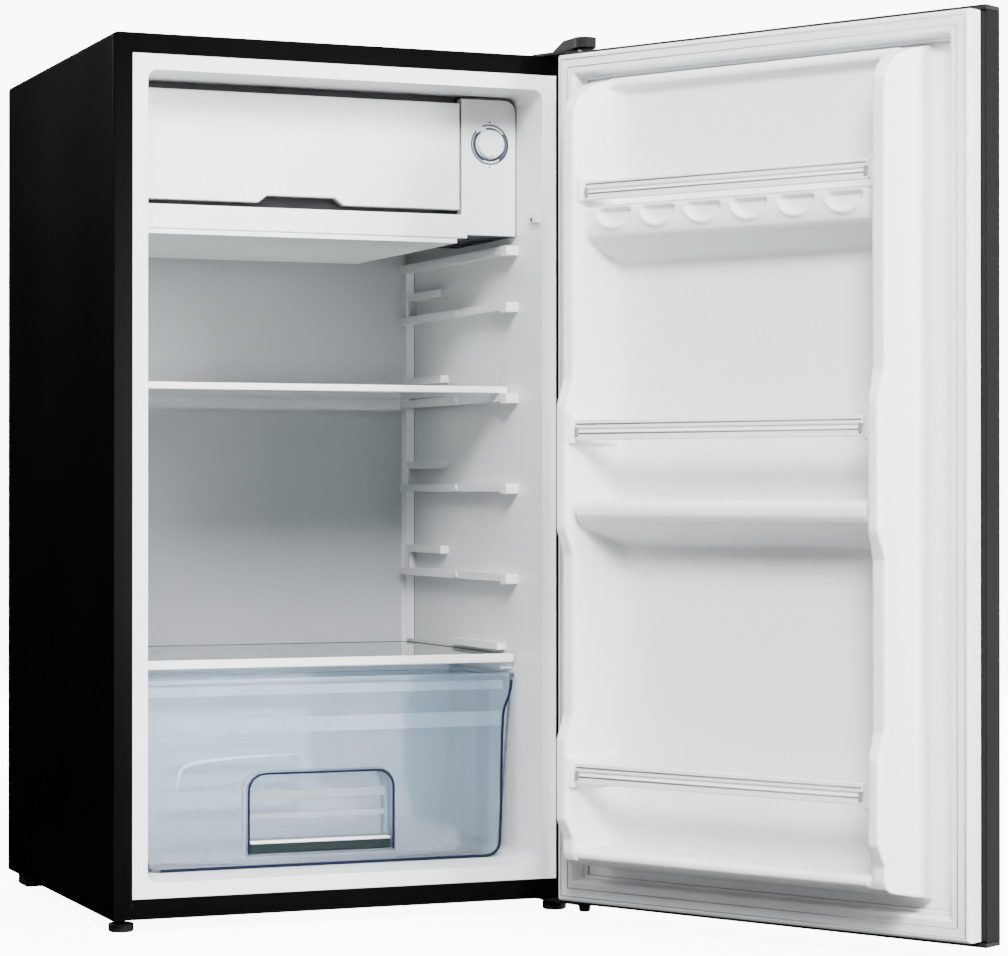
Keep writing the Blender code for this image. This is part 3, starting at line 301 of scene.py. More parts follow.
def polish(thing, width):
    """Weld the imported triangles, join flat ones and round the edges a little."""
    mesh = thing.data
    if "custom_normal" in mesh.attributes:
        mesh.attributes.remove(mesh.attributes["custom_normal"])
    mesh.shade_smooth()
    weld = thing.modifiers.new("weld", "WELD")
    weld.merge_threshold = WELD
    flat = thing.modifiers.new("flat", "DECIMATE")
    flat.decimate_type = "DISSOLVE"
    flat.angle_limit = FLAT
    bevel = thing.modifiers.new("edges", "BEVEL")
    bevel.width = width * MM
    bevel.segments = EDGE_STEPS
    bevel.limit_method = "ANGLE"
    bevel.angle_limit = SHARP
    bevel.use_clamp_overlap = True
    normals = thing.modifiers.new("normals", "WEIGHTED_NORMAL")
    normals.keep_sharp = False


def dress_frame():
    """Give every CAD node its material and soft edges."""
    for entry in RECORD["subparts"]:
        thing = NODES[entry["node"]]
        dress(thing, entry["material_slot"])
        polish(thing, EDGE_WIDTHS.get(entry["node"], PLAIN_EDGE))
    # the inner liner's white, with painted shade towards its back
    NODES["inner_liner"].data.materials[0] = liner_white_painted_depth_shade()
    NODES["back_panel"].data.materials[0] = back_black()


# ---------------------------------------------------------------- new pieces

def piece(name, mesh, body, slot, *replaced):
    """Add a made mesh as a visible piece that rides on a body."""
    thing = bpy.data.objects.new(name, mesh)
    bpy.context.scene.collection.objects.link(thing)
    dress(thing, slot)
    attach(thing, body)
    if replaced:
        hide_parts(*replaced)
    return thing


class Solids:
    """Closed solids in millimetres, gathered in one mesh."""

    def __init__(self):
        self.bm = bmesh.new()

    def loft(self, *rings):
        """Join rings of points one after another and close both ends."""
        rows = [[self.bm.verts.new(point) for point in ring] for ring in rings]
        for first, last in zip(rows, rows[1:]):
            for i in range(len(first)):
                j = (i + 1) % len(first)
                self.bm.faces.new((first[i], first[j], last[j], last[i]))
        self.bm.faces.new(reversed(rows[0]))
        self.bm.faces.new(rows[-1])
        return self

    def prism(self, outline, axis, low, high):
        """Extrude an outline, given as the other two coordinates in their order."""
        at = "xyz".index(axis)
        return self.loft(*[[(*point[:at], end, *point[at:]) for point in outline]
                           for end in (low, high)])

    def box(self, x, y, z):
        """Box between two values of each coordinate."""
        return self.prism([(x[0], y[0]), (x[1], y[0]), (x[1], y[1]), (x[0], y[1])], "z", *z)

    def ball(self, centre, radii, sides=16):
        """Ball with a radius along each axis."""
        made = bmesh.ops.create_uvsphere(self.bm, u_segments=sides, v_segments=sides // 2, radius=1.0)
        bmesh.ops.scale(self.bm, vec=radii, verts=made["verts"])
        bmesh.ops.translate(self.bm, vec=centre, verts=made["verts"])
        return self

    def tube(self, path, radii, sides=10):
        """Round bar through the points of a path in an x-z plane, its radius given at each."""
        rings = []
        for i, (x, y, z) in enumerate(path):
            before, after = path[max(i - 1, 0)], path[min(i + 1, len(path) - 1)]
            along = Vector((after[0] - before[0], 0.0, after[2] - before[2])).normalized()
            across = Vector((along.z, 0.0, -along.x))
            rings.append([Vector((x, y, z)) + radii[i] * (across * math.cos(t) +
                          Vector((0.0, 1.0, 0.0)) * math.sin(t))
                          for t in [math.tau * k / sides for k in range(sides)]])
        return self.loft(*rings)

    def mesh(self, name, place):
        """Finish the solids as a mesh, moved to its place."""
        bmesh.ops.recalc_face_normals(self.bm, faces=self.bm.faces)
        made = bpy.data.meshes.new(name)
        self.bm.to_mesh(made)
        self.bm.free()
        made.transform(place)
        return made

    def cut(self, other):
        """Take another set of solids away from these."""
        body, tool = (bpy.data.objects.new("work", s.mesh("work", Matrix())) for s in (self, other))
        for thing in (body, tool):
            bpy.context.scene.collection.objects.link(thing)
        step = body.modifiers.new("cut", "BOOLEAN")
        step.object = tool
        self.bm = bmesh.new()
        self.bm.from_mesh(evaluated(body))
        for thing in (body, tool):
            bpy.data.objects.remove(thing, do_unlink=True)
        return self

    def add(self, other):
        """Gather another set of solids into this one."""
        made = other.mesh("more", Matrix())
        self.bm.from_mesh(made)
        return self

    def moulded(self, name, place, voxel, rounds, share):
        """Fuse the solids, round every edge and corner, and thin out the flat parts."""
        thing = bpy.data.objects.new(name, self.mesh(name, Matrix()))
        bpy.context.scene.collection.objects.link(thing)
        fuse = thing.modifiers.new("fuse", "REMESH")
        fuse.mode = "VOXEL"
        fuse.voxel_size = voxel
        fuse.use_smooth_shade = True
        soft = thing.modifiers.new("soft", "SMOOTH")
        soft.factor = 0.5
        soft.iterations = rounds
        thin = thing.modifiers.new("thin", "DECIMATE")
        thin.ratio = share
        made = evaluated(thing)
        bpy.data.objects.remove(thing, do_unlink=True)
        made.transform(place)
        made.name = name
        return made


def evaluated(thing):
    """Mesh of an object with its modifiers carried out."""
    graph = bpy.context.evaluated_depsgraph_get()
    return bpy.data.meshes.new_from_object(thing.evaluated_get(graph))


def even_normals(thing):
    """Let large faces decide how a smooth mesh shades."""
    thing.data.shade_smooth()
    normals = thing.modifiers.new("normals", "WEIGHTED_NORMAL")
    normals.keep_sharp = False


def mirrored(x, side):
    """The same x on side 1, and its mirror image across the cabinet on side -1."""
    return x if side == 1 else WIDTH - x


def add(name, solids, body, slot, material=None, place=CABINET, edge=0.0):
    """Add solids as a piece, with its own material or its slot's, and round its edges if asked."""
    thing = piece(name, solids.mesh(name, place), body, slot)
    if material:
        thing.data.materials[0] = material
    if edge:
        polish(thing, edge)
    else:
        thing.data.shade_smooth()


def rounded_box(x, z, radius, steps=5):
    """Outline of an upright rectangle with round corners."""
    corners = [(x[1] - radius, z[1] - radius, 0), (x[0] + radius, z[1] - radius, 90),
               (x[0] + radius, z[0] + radius, 180), (x[1] - radius, z[0] + radius, 270)]
    return [(cx + radius * math.cos(math.radians(start + 90 * i / steps)),
             cz + radius * math.sin(math.radians(start + 90 * i / steps)))
            for cx, cz, start in corners for i in range(steps + 1)]


def quarter(cx, cz, radius, start, y, steps=6):
    """Points of a quarter circle in an upright plane, turning clockwise from an angle."""
    turns = [math.radians(start - 90 * i / steps) for i in range(steps + 1)]
    return [(cx + radius * math.cos(t), y, cz + radius * math.sin(t)) for t in turns]


def line(solids, path, radius):
    """Round bar of one radius."""
    return solids.tube(path, [radius] * len(path))


def ring(solids, x, z, width, y):
    """Upright rectangular frame of the given width."""
    solids.box((x[0], x[0] + width), y, z)
    solids.box((x[1] - width, x[1]), y, z)
    for low in (z[0], z[1] - width):
        solids.box((x[0] + width, x[1] - width), y, (low, low + width))
    return solids


# ---------------------------------------------------------------- cabinet's inside

WALL = 34.0                    # the liner's inner side faces, from either side of the cabinet
BACK = 386.0                   # front face of the liner's back wall
LID_TOP = 240.0                # top of the drawer's lid
PLATE_HEIGHTS = (236.0, 795.0)
MOULDING_TOP = 648.0           # of the moulding up each corner of the back wall
MOULDING_REACH = 24.5          # from the back wall to the joint in front of the moulding
LEDGES = (593.0, 501.2, 410.0, 319.0)          # tops of the ledges on the side walls
STUD_AT, STUD_SIZE = (WALL + 11.6, 205.0, -4.2), (2.0, 4.5, 3.6)      # z is from a ledge's top
# Outline, width and depths of the dark frame behind the freezer flap's edges: painted shade in the gap
# between the freezer box and its flap.
GAP_SHADE_X, GAP_SHADE_Z, GAP_SHADE_WIDTH, GAP_SHADE_Y = (37.6, 376.0), (679.8, 798.0), 22.0, (78.7, 81.6)
# painted shade: dark lines in the gap round the thermostat housing
HOUSING_GAP_SHADE_Y = 68.2                  # middle of the lines round the thermostat housing, just inside its face
HOUSING_LEFT, HOUSING_RIGHT = 376.2, 435.6
HOUSING_BOTTOM, HOUSING_TOP, HOUSING_RADIUS = 659.5, 796.4, 12.0
VENT_X, VENT_Y, VENT_BARS, VENT_PITCH = (382.5, 434.8), (70.5, 230.0), 7, 20.0
PLUG_HOLE_SHADE, PLUG_HOLE_SHADE_SIZE = (431.0, 15.8, 671.9), (1.3, 3.1, 2.3)
KNOB_X, KNOB_Z = 407.0, 751.0
MARK_Y = (67.75, 68.1)         # from the marks' faces to just inside the housing
# Inner and outer radius, and the angles between which each broken ring runs.
DIAL_RINGS = (((18.8, 20.4), -222.0, 114.0), ((15.0, 17.0), -232.0, 104.0),
              ((16.0, 18.3), 140.0, 246.0), ((16.6, 19.5), -56.0, 38.0))
TICK_RADIUS, TICK_HALF_WIDTH, TICK_HALF_HEIGHT = 22.5, 0.6, 1.3


def back_plate():
    """Grey sheet on the back wall, with painted shade below the shelf, dark joints and a pale moulding up
    each corner.
    """
    sheet = Solids().prism(rounded_box((WALL + 1.5, WIDTH - WALL - 1.5), PLATE_HEIGHTS, 5.0),
                           "y", BACK - 0.8, BACK - 0.2)
    add("back_plate", sheet, "cabinet", "white_liner", plate_grey_painted_shade(), edge=0.15)
    joints, mouldings = Solids(), Solids()
    for side in (1, -1):
        near, far = mirrored(WIDTH - WALL - 2.2, side), mirrored(WIDTH - WALL + 0.2, side)
        for x, y, radius in ((near, BACK - 1.0, 0.8), (far, BACK - MOULDING_REACH, 0.7)):
            line(joints, [(x, y, LID_TOP), (x, y, MOULDING_TOP)], radius)
        mouldings.prism([(near, BACK - 1.2), (mirrored(WIDTH - WALL - 2.0, side), BACK - 8.0),
                         (mirrored(WIDTH - WALL - 1.0, side), BACK - 20.0), (far, BACK - 24.0),
                         (far, BACK - 1.0)], "z", LID_TOP, MOULDING_TOP)
    add("back_joints", joints, "cabinet", "white_liner", tinted("joint_grey", (0.10, 0.105, 0.11), 0.5))
    add("corner_mouldings", mouldings, "cabinet", "white_liner", edge=0.4)


def ledge_studs():
    """A small round stud half-way along the inner face of each ledge."""
    x, y, below = STUD_AT
    studs = Solids()
    for height in LEDGES:
        for side in (1, -1):
            studs.ball((mirrored(x, side), y, height + below), STUD_SIZE)
    add("ledge_studs", studs, "cabinet", "white_liner")


def freezer_front():
    """Dark frame behind the flap's edges, painted shade of the gap between the freezer box and its flap,
    with a bead along its top and bottom.
    """
    # painted shade: a dark frame, so the gap round the flap reads dark
    seal = ring(Solids(), GAP_SHADE_X, GAP_SHADE_Z, GAP_SHADE_WIDTH, GAP_SHADE_Y)
    for z in (776.5, 701.5):
        line(seal, [(60.0, 80.6, z), (352.0, 80.6, z)], 1.6)
    add("freezer_gap_shade", seal, "cabinet", "black_plastic", edge=0.4)


def housing_details():
    """Painted shade round the thermostat housing and in its plug's hole, and the dark vent under it."""
    y, low = HOUSING_GAP_SHADE_Y, HOUSING_BOTTOM
    path = [(HOUSING_LEFT + 0.8, y, HOUSING_TOP)]
    path += quarter(HOUSING_RIGHT - HOUSING_RADIUS, HOUSING_TOP - HOUSING_RADIUS, HOUSING_RADIUS, 90, y)
    path.append((HOUSING_RIGHT, y, low))
    # painted shade: a dark line along the gap round the housing's face and left edge
    seam = line(Solids(), path, 0.75)
    line(seam, [(HOUSING_LEFT, y + 0.2, 680.0), (HOUSING_LEFT, y + 0.2, 795.0)], 0.5)
    add("housing_gap_shade", seam, "cabinet", "white_plastic", tinted("gap_shade_grey", (0.13, 0.135, 0.14), 0.5))
    vent = Solids().box(VENT_X, VENT_Y, (low - 0.6, low + 0.2))
    for n in range(VENT_BARS):
        front = 90.0 + VENT_PITCH * n
        vent.box((390.0, 428.0), (front, front + 8.0), (low - 1.4, low - 0.5))
    add("housing_vent", vent, "cabinet", "black_plastic", tinted("vent_navy", (0.010, 0.012, 0.022), 0.4),
        edge=0.2)
    # painted shade: a dark ball in the hole of the plug's tab, where shade falls
    screw = Solids().ball(PLUG_HOLE_SHADE, PLUG_HOLE_SHADE_SIZE)
    add("plug_hole_shade", screw, "cabinet", "screw_steel", tinted("plug_dark", (0.04, 0.04, 0.042), 0.4))


def sector(radii, start, end, steps=40):
    """Outline of part of a flat ring round the knob."""
    turns = [math.radians(start + (end - start) * i / steps) for i in range(steps + 1)]
    outline = [(KNOB_X + radii[1] * math.cos(t), KNOB_Z + radii[1] * math.sin(t)) for t in turns]
    return outline + [(KNOB_X + radii[0] * math.cos(t), KNOB_Z + radii[0] * math.sin(t))
                      for t in reversed(turns)]


def dial_scale():
    """Marks round the knob: two broken rings, thicker at either side, and a tick above and below."""
    marks = Solids()
    for radii, start, end in DIAL_RINGS:
        marks.prism(sector(radii, start, end), "y", *MARK_Y)
    x = (KNOB_X - TICK_HALF_WIDTH, KNOB_X + TICK_HALF_WIDTH)
    for z in (KNOB_Z + TICK_RADIUS, KNOB_Z - TICK_RADIUS):
        tick = rounded_box(x, (z - TICK_HALF_HEIGHT, z + TICK_HALF_HEIGHT), 0.5)
        marks.prism(tick, "y", *MARK_Y)
    add("dial_scale", marks, "cabinet", "white_plastic", tinted("dial_ink", (0.075, 0.10, 0.14), 0.5))


# ---------------------------------------------------------------- drawer

LINES_Y = 70.2                 # middle of the dark lines on the drawer's front
SLOT_Y = 74.6                  # the same for the dark marks set back in it
SILL_Y = 73.4                  # and for the pale mark
DRAWER_LOW = 35.0              # underside of the drawer
HOLD_X, HOLD_TOP, HOLD_RADIUS = (155.0, 305.0), 126.0, 17.0      # outline of the hand hold
EDGE_CURVE = [(212.0, 0.6), (203.0, 1.0), (196.0, 2.4), (190.0, 4.6), (184.0, 6.4), (176.0, 7.2),
              (160.0, 6.8), (120.0, 4.6), (80.0, 1.8)]     # height, and inset from the drawer's side


def drawer_side(z):
    """Where the drawer's right side is at a height."""
    return 419.6 + 13.4 * (z - 49.0) / 170.0


def drawer_details():
    """Painted shade on the drawer front's outlines and hand hold, and painted light on its pale bands."""
    y = LINES_Y
    left, right = HOLD_X
    curve_z = HOLD_TOP - HOLD_RADIUS
    # painted shade: dark lines along the clear front's edges and round its hand hold
    dark = Solids()
    hold = [(left, y, 48.0)] + quarter(left + HOLD_RADIUS, curve_z, HOLD_RADIUS, 180, y)
    hold += quarter(right - HOLD_RADIUS, curve_z, HOLD_RADIUS, 90, y) + [(right, y, 48.0)]
    line(dark, hold, 1.15)
    side = [(drawer_side(z) - inward, y, z) for z, inward in EDGE_CURVE]
    foot = quarter(405.0, 49.8, 14.0, 0, y)
    line(dark, side + foot + [(66.0, y, DRAWER_LOW + 0.8)], 1.35)
    navy = tinted("painted_edge_navy", (0.006, 0.010, 0.028), 0.5, Specular_IOR_Level=0.12)
    add("drawer_painted_edges", dark, "crisper_drawer", "clear_plastic", navy)

    y = SLOT_Y
    # painted shade: a dark block in the hand hold's slot, and dark marks in the front's low corners
    slot = Solids().box((157.5, 302.5), (72.8, 84.0), (48.6, 57.0))
    slot.tube([(60.0, y, 40.0), (78.0, y, 40.4), (104.0, y, 39.4), (152.0, y, 38.4)],
              [1.8, 2.2, 1.5, 0.6])
    slot.tube([(309.0, y, 38.4), (350.0, y, 39.0), (378.0, y, 40.4), (400.0, y, 40.4)],
              [0.6, 1.4, 2.0, 1.4])
    green = tinted("slot_shade_green", (0.010, 0.017, 0.017), 0.4, Specular_IOR_Level=0.2)
    add("drawer_slot_shade", slot, "crisper_drawer", "clear_plastic", green, edge=0.3)

    y = SILL_Y
    sill = Solids().prism(rounded_box((157.6, 302.4), (57.4, 59.8), 0.8), "y", y - 1.0, 84.2)
    # painted highlight: a white curve where the front catches light
    sill.tube([(84.0, y, 112.0), (84.3, y, 124.0), (87.0, y, 133.0), (95.0, y, 138.0),
               (110.0, y, 140.5), (150.0, y, 143.0), (205.0, y, 144.5)],
              [0.4, 1.2, 1.7, 1.8, 1.6, 1.2, 0.4])
    add("drawer_sill_and_highlight", sill, "crisper_drawer", "clear_plastic", MATERIALS["white_plastic"])

    # painted light: pale bands on ribs of the clear front, where they catch light
    bands = Solids()
    for z in ((80.0, 86.0), (99.0, 108.0)):
        bands.prism(rounded_box((159.0, 301.0), z, 1.5), "y", 85.2, 86.6)
    for z in ((166.0, 181.0), (203.0, 212.0)):
        bands.prism(rounded_box((43.0, 423.0), z, 2.0), "y", 72.7, 73.4)
    add("drawer_light_bands", bands, "crisper_drawer", "clear_plastic",
        tinted("band_painted_light", (0.24, 0.268, 0.295), 0.3), edge=0.2)


GLASS_X, GLASS_Z = (36.8, 39.6), (236.8, 237.8)      # left edge strip of the glass over the drawer
GLASS_FRONT, GLASS_BACK = 90.0, 371.0


def lid_edges():
    """Dark green cut edges of the glass over the drawer."""
    edges = Solids()
    for side in (1, -1):
        edges.box(sorted(mirrored(x, side) for x in GLASS_X), (GLASS_FRONT, GLASS_BACK), GLASS_Z)
    inner = GLASS_X[1]
    edges.box((inner, WIDTH - inner), (GLASS_BACK - 2.5, GLASS_BACK), GLASS_Z)
    add("lid_glass_edges", edges, "crisper_lid", "shelf_glass",
        tinted("glass_green", (0.045, 0.075, 0.065), 0.25), edge=0.2)


# ---------------------------------------------------------------- door liner

FLANGE_Y = -20.0               # the liner's flange, from which the depths below are measured
FLANGE_INSET, FLANGE_SHEET, FLANGE_HEIGHTS = 6.3, 1.2, (5.3, 825.7)
FLOOR = 22.0                   # the panel between the side walls
DYKE = 76.0                    # top of the side walls
BULGE = 86.0                   # the same beside the two lower racks
BAR_END = 74.0                 # ends of the cross bars, inside the side walls
# Outlines as heights up the door and depths.
FIN_OUTLINE = [(39.0, -1.0), (39.0, 0.0), (50.0, 64.0), (54.0, 73.0), (61.0, DYKE), (74.0, DYKE),
               (94.0, BULGE), (168.0, BULGE), (191.0, DYKE), (342.0, DYKE), (367.0, BULGE),
               (482.0, BULGE), (508.0, DYKE), (748.0, DYKE), (763.0, 75.0), (776.0, 66.0),
               (786.0, 52.0), (792.0, 34.0), (796.5, 14.0), (798.5, 0.0), (798.5, -1.0)]
BARS = {"panel": [(45.0, -1.0), (55.0, FLOOR), (788.0, FLOOR), (796.0, -1.0)],
        "top": [(798.0, -1.0), (796.0, 24.0), (792.0, 31.0), (787.0, 31.0), (778.0, 21.0),
                (770.0, -1.0)],
        "middle": [(352.0, 21.0), (370.0, 68.0), (374.0, 76.0), (380.0, 80.0), (388.0, 80.0),
                   (393.5, 76.0), (394.5, 68.0), (394.5, 21.0)],
        "low": [(39.5, -1.0), (50.5, 64.0), (53.5, 72.0), (58.0, 76.5), (62.0, 76.5), (65.0, 73.0),
                (66.0, 68.0), (66.0, -1.0)]}
EGG_SHELF = [(617.0, 20.0), (638.0, 57.0), (643.0, 61.5), (650.0, 63.0), (667.0, 63.0),
             (671.5, 59.5), (671.5, 20.0)]
EGG_TOP, EGG_FIRST, EGG_PITCH, EGGS = 667.0, 107.0, 51.2, 6
EGG_RINGS = ((15.0, 57.0), (18.0, 58.5), (20.0, 61.5), (20.8, 70.0))     # radius and depth
OUTER_SLOPE = 2.0 / DYKE       # of the side walls' outer faces
SLOPE = 14.0 / DYKE            # of their inner faces
# Heights of the blocks that hold the racks, and how far out they reach.
BLOCKS = ((675.0, 698.0, 73.0), (447.0, 476.0, 83.5), (124.0, 152.0, 83.5))
BAYS = ((66.0, 353.0), (394.0, 618.0), (671.0, 780.0))          # between the cross bars
BAY_RADIUS = 18.0


def fin_rings(side):
    """Outer and inner face of a side wall of the door liner."""
    return [[(mirrored(base + slope * n, side), FLANGE_Y + n, z) for z, n in FIN_OUTLINE]
            for base, slope in ((54.0, OUTER_SLOPE), (84.0, -SLOPE))]


def lower_half(steps):
    """Angles of the lower half of a circle."""
    return [math.radians(180 + 180 * i / steps) for i in range(steps + 1)]


def hollow_corner(radius, steps=6):
    """Outline of what fills a right-angled corner with a hollow curve."""
    return [(0.0, 0.0), (radius, 0.0)] + [
        (radius - radius * math.sin(math.radians(90 * i / steps)),
         radius - radius * math.cos(math.radians(90 * i / steps))) for i in range(1, steps + 1)]


def egg_shelf():
    """Shelf whose front has a row of pressed hollows with a lip below each."""
    shelf = Solids()
    shelf.prism([(FLANGE_Y + n, z) for z, n in EGG_SHELF], "x", BAR_END, WIDTH - BAR_END)
    hollows, lips = Solids(), Solids()
    lip_steps = 14
    lip_radii = [0.4 + 1.5 * math.sin(math.pi * i / lip_steps) for i in range(lip_steps + 1)]
    for n in range(EGGS):
        x = EGG_FIRST + n * EGG_PITCH
        hollows.loft(*[[(x + wide * math.cos(t), FLANGE_Y + depth, EGG_TOP + wide * 0.82 * math.sin(t))
                        for t in lower_half(16)] for wide, depth in EGG_RINGS])
        lips.tube([(x + 21.0 * math.cos(t), FLANGE_Y + 63.2, EGG_TOP + 17.5 * math.sin(t))
                   for t in lower_half(lip_steps)], lip_radii)
    return shelf.cut(hollows).add(lips)


def door_liner():
    """The door's moulded inner panel, in place of the plain one of the CAD model."""
    liner = Solids()
    liner.box((FLANGE_INSET, WIDTH - FLANGE_INSET), (FLANGE_Y - FLANGE_SHEET, FLANGE_Y), FLANGE_HEIGHTS)
    for outline in BARS.values():
        liner.prism([(FLANGE_Y + n, z) for z, n in outline], "x", BAR_END, WIDTH - BAR_END)
    for side in (1, -1):
        liner.loft(*fin_rings(side))
        for low, high, reach in BLOCKS:
            edges = [(80.0 - SLOPE * FLOOR, 18.0), (91.0 - SLOPE * FLOOR, 18.0),
                     (89.0 - SLOPE * reach, reach), (80.0 - SLOPE * reach, reach)]
            outline = [(mirrored(x, side), FLANGE_Y + n) for x, n in edges]
            liner.prism(outline, "z", low, high)
        for low, high in BAYS:
            corner = [(mirrored(79.0 + u, side), FLANGE_Y + FLOOR - 0.5 + v)
                      for u, v in hollow_corner(BAY_RADIUS)]
            liner.prism(corner, "z", low, high)
    liner.add(egg_shelf())
    mesh = liner.moulded("door_liner_shell", DOOR, voxel=1.7, rounds=4, share=0.14)
    thing = piece("door_liner_shell", mesh, "door", "white_liner", "door_liner")
    # the door liner's lighter copy of the white: painted light
    thing.data.materials[0] = door_white_painted_light()
    even_normals(thing)


# Underside, front face and end of each rack's rail, from the top one down.
RAILS = ((676.0, 49.0, 78.5), (450.0, 61.0, 76.3), (128.0, 61.0, 76.3))
GASKET_GROOVES = (9.5, 17.5)   # insets from the door's edge
FLANGE_GROOVE = 28.8


def door_details():
    """Grooves of the door's gasket and flange and of the rack rails, as grey lines of painted shade, and
    the rails' end clips.
    """
    grooves = Solids()
    # painted shade: grey rings along the grooves of the gasket and the liner's flange
    for inset in GASKET_GROOVES:
        ring(grooves, (inset, WIDTH - inset), (1.0 + inset, 830.0 - inset), 1.0, (-1.6, -0.55))
    ring(grooves, (FLANGE_GROOVE, WIDTH - FLANGE_GROOVE), (29.8, 801.2), 1.2,
         (FLANGE_Y - 0.2, FLANGE_Y + 1.0))
    groove_painted_shade = tinted("groove_painted_shade", (0.36, 0.365, 0.37), 0.5)
    add("seal_grooves", grooves, "door", "white_rubber", groove_painted_shade, DOOR)
    marks, clips = Solids(), Solids()
    for low, face, x in RAILS:
        # painted shade: two grey lines in the grooves along each rail's front
        for up in (5.6, 14.4):
            marks.box((x + 1.0, WIDTH - x - 1.0), (face - 0.6, face + 0.35), (low + up, low + up + 1.3))
        for side in (1, -1):
            ends = sorted((mirrored(x, side), mirrored(x + 3.5, side)))
            clips.prism(rounded_box(ends, (low + 3.0, low + 12.0), 1.0), "y", face - 1.0, face + 1.2)
    rail_groove_shade = tinted("rail_groove_shade", (0.20, 0.205, 0.21), 0.5)
    add("rail_grooves", marks, "door", "white_plastic", rail_groove_shade, DOOR)
    clip_grey = tinted("clip_grey", (0.24, 0.245, 0.25), 0.4)
    add("rail_clips", clips, "door", "white_plastic", clip_grey, DOOR, 0.3)


# ---------------------------------------------------------------- stage

CAMERA_AT = (-1.0795, -2.7585, 0.413)
CAMERA_TURN = (90.29, 0.0, -22.18)       # degrees
LENS, SENSOR = 108.75, 36.0              # mm
PALE = 9.0                               # brightness of the floor and of what is seen beyond it
# Each change in the dome's brightness: along which direction, from where to where, from what to what.
DOME_UP = ((0.0, 0.0, 1.0), -0.6, 0.4, 7.5, 13.5)
DOME_FRONT = ((0.0, -1.0, 0.0), 0.45, 0.9, 1.0, 0.15)
# Name, place, aim, size and power of each light, and whether it shows in reflections.
SOFTBOXES = (
    ("key", (-1.1, -3.4, 2.7), (-0.1, 0.0, 0.5), (1.5, 1.2), 490.0, False),
    ("right fill", (1.5, -2.8, 1.2), (0.2, -0.2, 0.45), (1.0, 1.4), 235.0, False),
    ("side", (-2.6, 2.6, 1.9), (-0.3, 0.2, 0.8), (0.8, 0.8), 40.0, True),
    ("top", (0.0, 0.0, 3.4), (0.0, 0.1, 0.45), (3.0, 3.0), 50.0, True),
    ("door edge", (3.0, -0.6, 0.45), (0.35, -0.45, 0.45), (1.0, 2.6), 16.0, True),
    ("strip glint", (0.75, -2.8, 0.5), (-0.34, 0.0, 0.5), (0.3, 0.7), 9.0, True),
    ("right sheen", (2.4, 2.4, 1.5), (0.3, 0.1, 0.5), (0.8, 1.6), 45.0, True),
    ("behind", (0.8, 3.2, 0.9), (0.0, 0.4, 0.3), (1.6, 1.2), 90.0, True))


def camera():
    """Long lens in front of the cabinet, a little to its left."""
    data = bpy.data.cameras.new("camera")
    data.lens = LENS
    data.sensor_width = SENSOR
    thing = bpy.data.objects.new("camera", data)
    thing.location = CAMERA_AT
    thing.rotation_euler = [math.radians(a) for a in CAMERA_TURN]
    bpy.context.scene.collection.objects.link(thing)
    bpy.context.scene.camera = thing


def softbox(name, place, aim, size, power, in_gloss):
    """White rectangular light at a place, turned to what it is aimed at."""
    data = bpy.data.lights.new(name, "AREA")
    data.shape = "RECTANGLE"
    data.size, data.size_y = size
    data.energy = power
    thing = bpy.data.objects.new(name, data)
    thing.location = place
    thing.rotation_euler = (Vector(aim) - Vector(place)).to_track_quat("-Z", "Y").to_euler()
    thing.visible_glossy = in_gloss
    bpy.context.scene.collection.objects.link(thing)


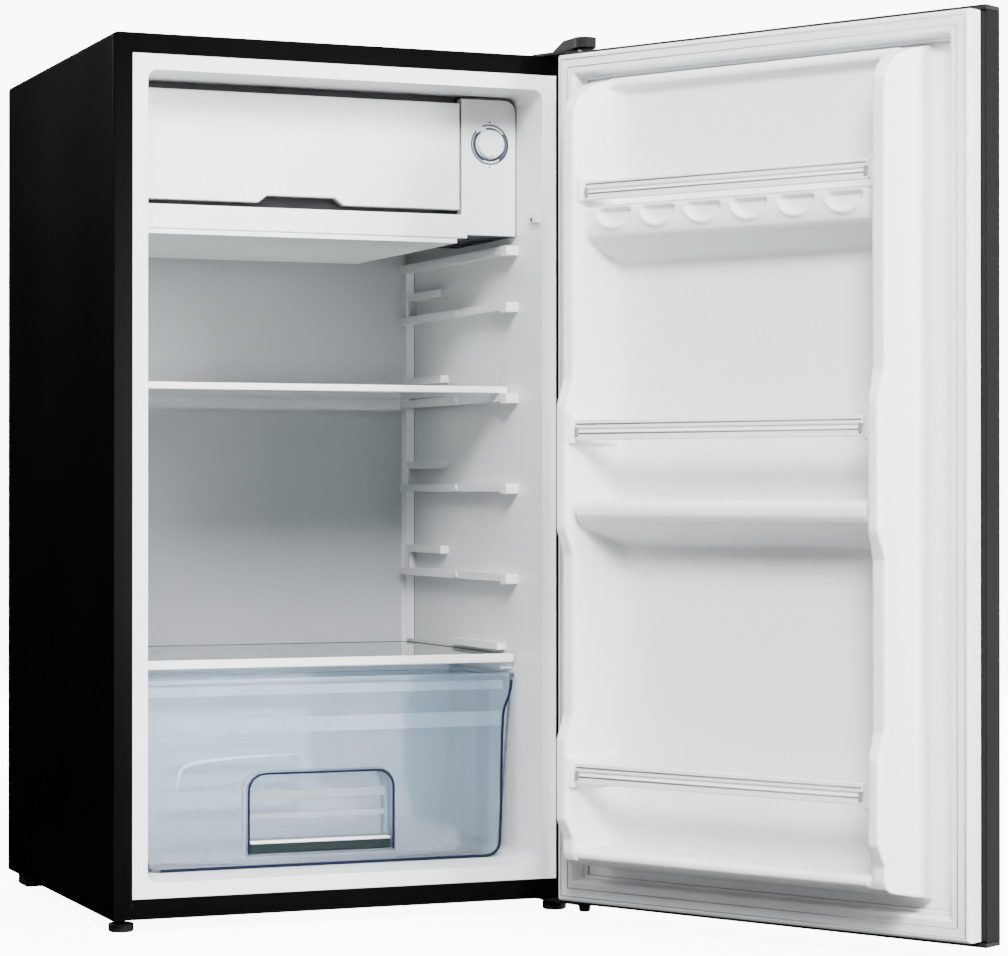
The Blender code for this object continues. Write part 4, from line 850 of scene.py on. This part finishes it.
def floor():
    """Pale sweep: flat under the object and curving up far behind it."""
    reach, rise, bend, steps = 9.0, 6.0, 2.5, 16
    profile = [(-reach, 0.0)]
    for i in range(steps + 1):
        t = math.radians(-90 + 90 * i / steps)
        profile.append((reach - bend + bend * math.cos(t), bend + bend * math.sin(t)))
    profile.append((reach, rise))
    bm = bmesh.new()
    rows = [[bm.verts.new((x, y, z)) for y, z in profile] for x in (-reach * 1.5, reach * 1.5)]
    for i in range(len(profile) - 1):
        bm.faces.new((rows[0][i], rows[1][i], rows[1][i + 1], rows[0][i + 1]))
    mesh = bpy.data.meshes.new("floor")
    bm.to_mesh(mesh)
    bm.free()
    mesh.shade_smooth()
    thing = bpy.data.objects.new("floor", mesh)
    bpy.context.scene.collection.objects.link(thing)
    s = Shader("floor", (0.86, 0.86, 0.86), 0.8, Specular_IOR_Level=0.1,
               Emission_Color=(1.0, 1.0, 1.0, 1.0), Emission_Strength=PALE)
    s.tint(s.noise(1.5), (0.88, 0.88, 0.88))
    mesh.materials.append(s.material)
    thing.visible_glossy = False
    thing.visible_diffuse = False


def studio():
    """The softboxes, and a white dome that is dimmer below and in front of the cabinet's mouth."""
    world = bpy.data.worlds.new("studio")
    world.use_nodes = True
    tree = world.node_tree
    direction = tree.nodes.new("ShaderNodeTexCoord").outputs["Generated"]

    def towards(way, start, end, low, high):
        """Run from low to high as the direction turns to face a way."""
        facing = tree.nodes.new("ShaderNodeVectorMath")
        facing.operation = "DOT_PRODUCT"
        facing.inputs[1].default_value = way
        tree.links.new(direction, facing.inputs[0])
        fade = tree.nodes.new("ShaderNodeMapRange")
        fade.interpolation_type = "SMOOTHSTEP"
        for socket, value in (("From Min", start), ("From Max", end), ("To Min", low), ("To Max", high)):
            fade.inputs[socket].default_value = value
        tree.links.new(facing.outputs["Value"], fade.inputs["Value"])
        return fade.outputs["Result"]

    product = tree.nodes.new("ShaderNodeMath")
    product.operation = "MULTIPLY"
    tree.links.new(towards(*DOME_UP), product.inputs[0])
    tree.links.new(towards(*DOME_FRONT), product.inputs[1])
    background = tree.nodes["Background"]
    seen = tree.nodes.new("ShaderNodeMix")
    seen.inputs["B"].default_value = PALE / background.inputs["Color"].default_value[0]
    tree.links.new(tree.nodes.new("ShaderNodeLightPath").outputs["Is Camera Ray"], seen.inputs["Factor"])
    tree.links.new(product.outputs[0], seen.inputs["A"])
    tree.links.new(seen.outputs["Result"], background.inputs["Strength"])
    world.cycles_visibility.glossy = False
    bpy.context.scene.world = world
    for light in SOFTBOXES:
        softbox(*light)


# ---------------------------------------------------------------- build

dress_frame()
back_plate()
ledge_studs()
freezer_front()
housing_details()
dial_scale()
drawer_details()
lid_edges()
door_liner()
door_details()
camera()
studio()
floor()
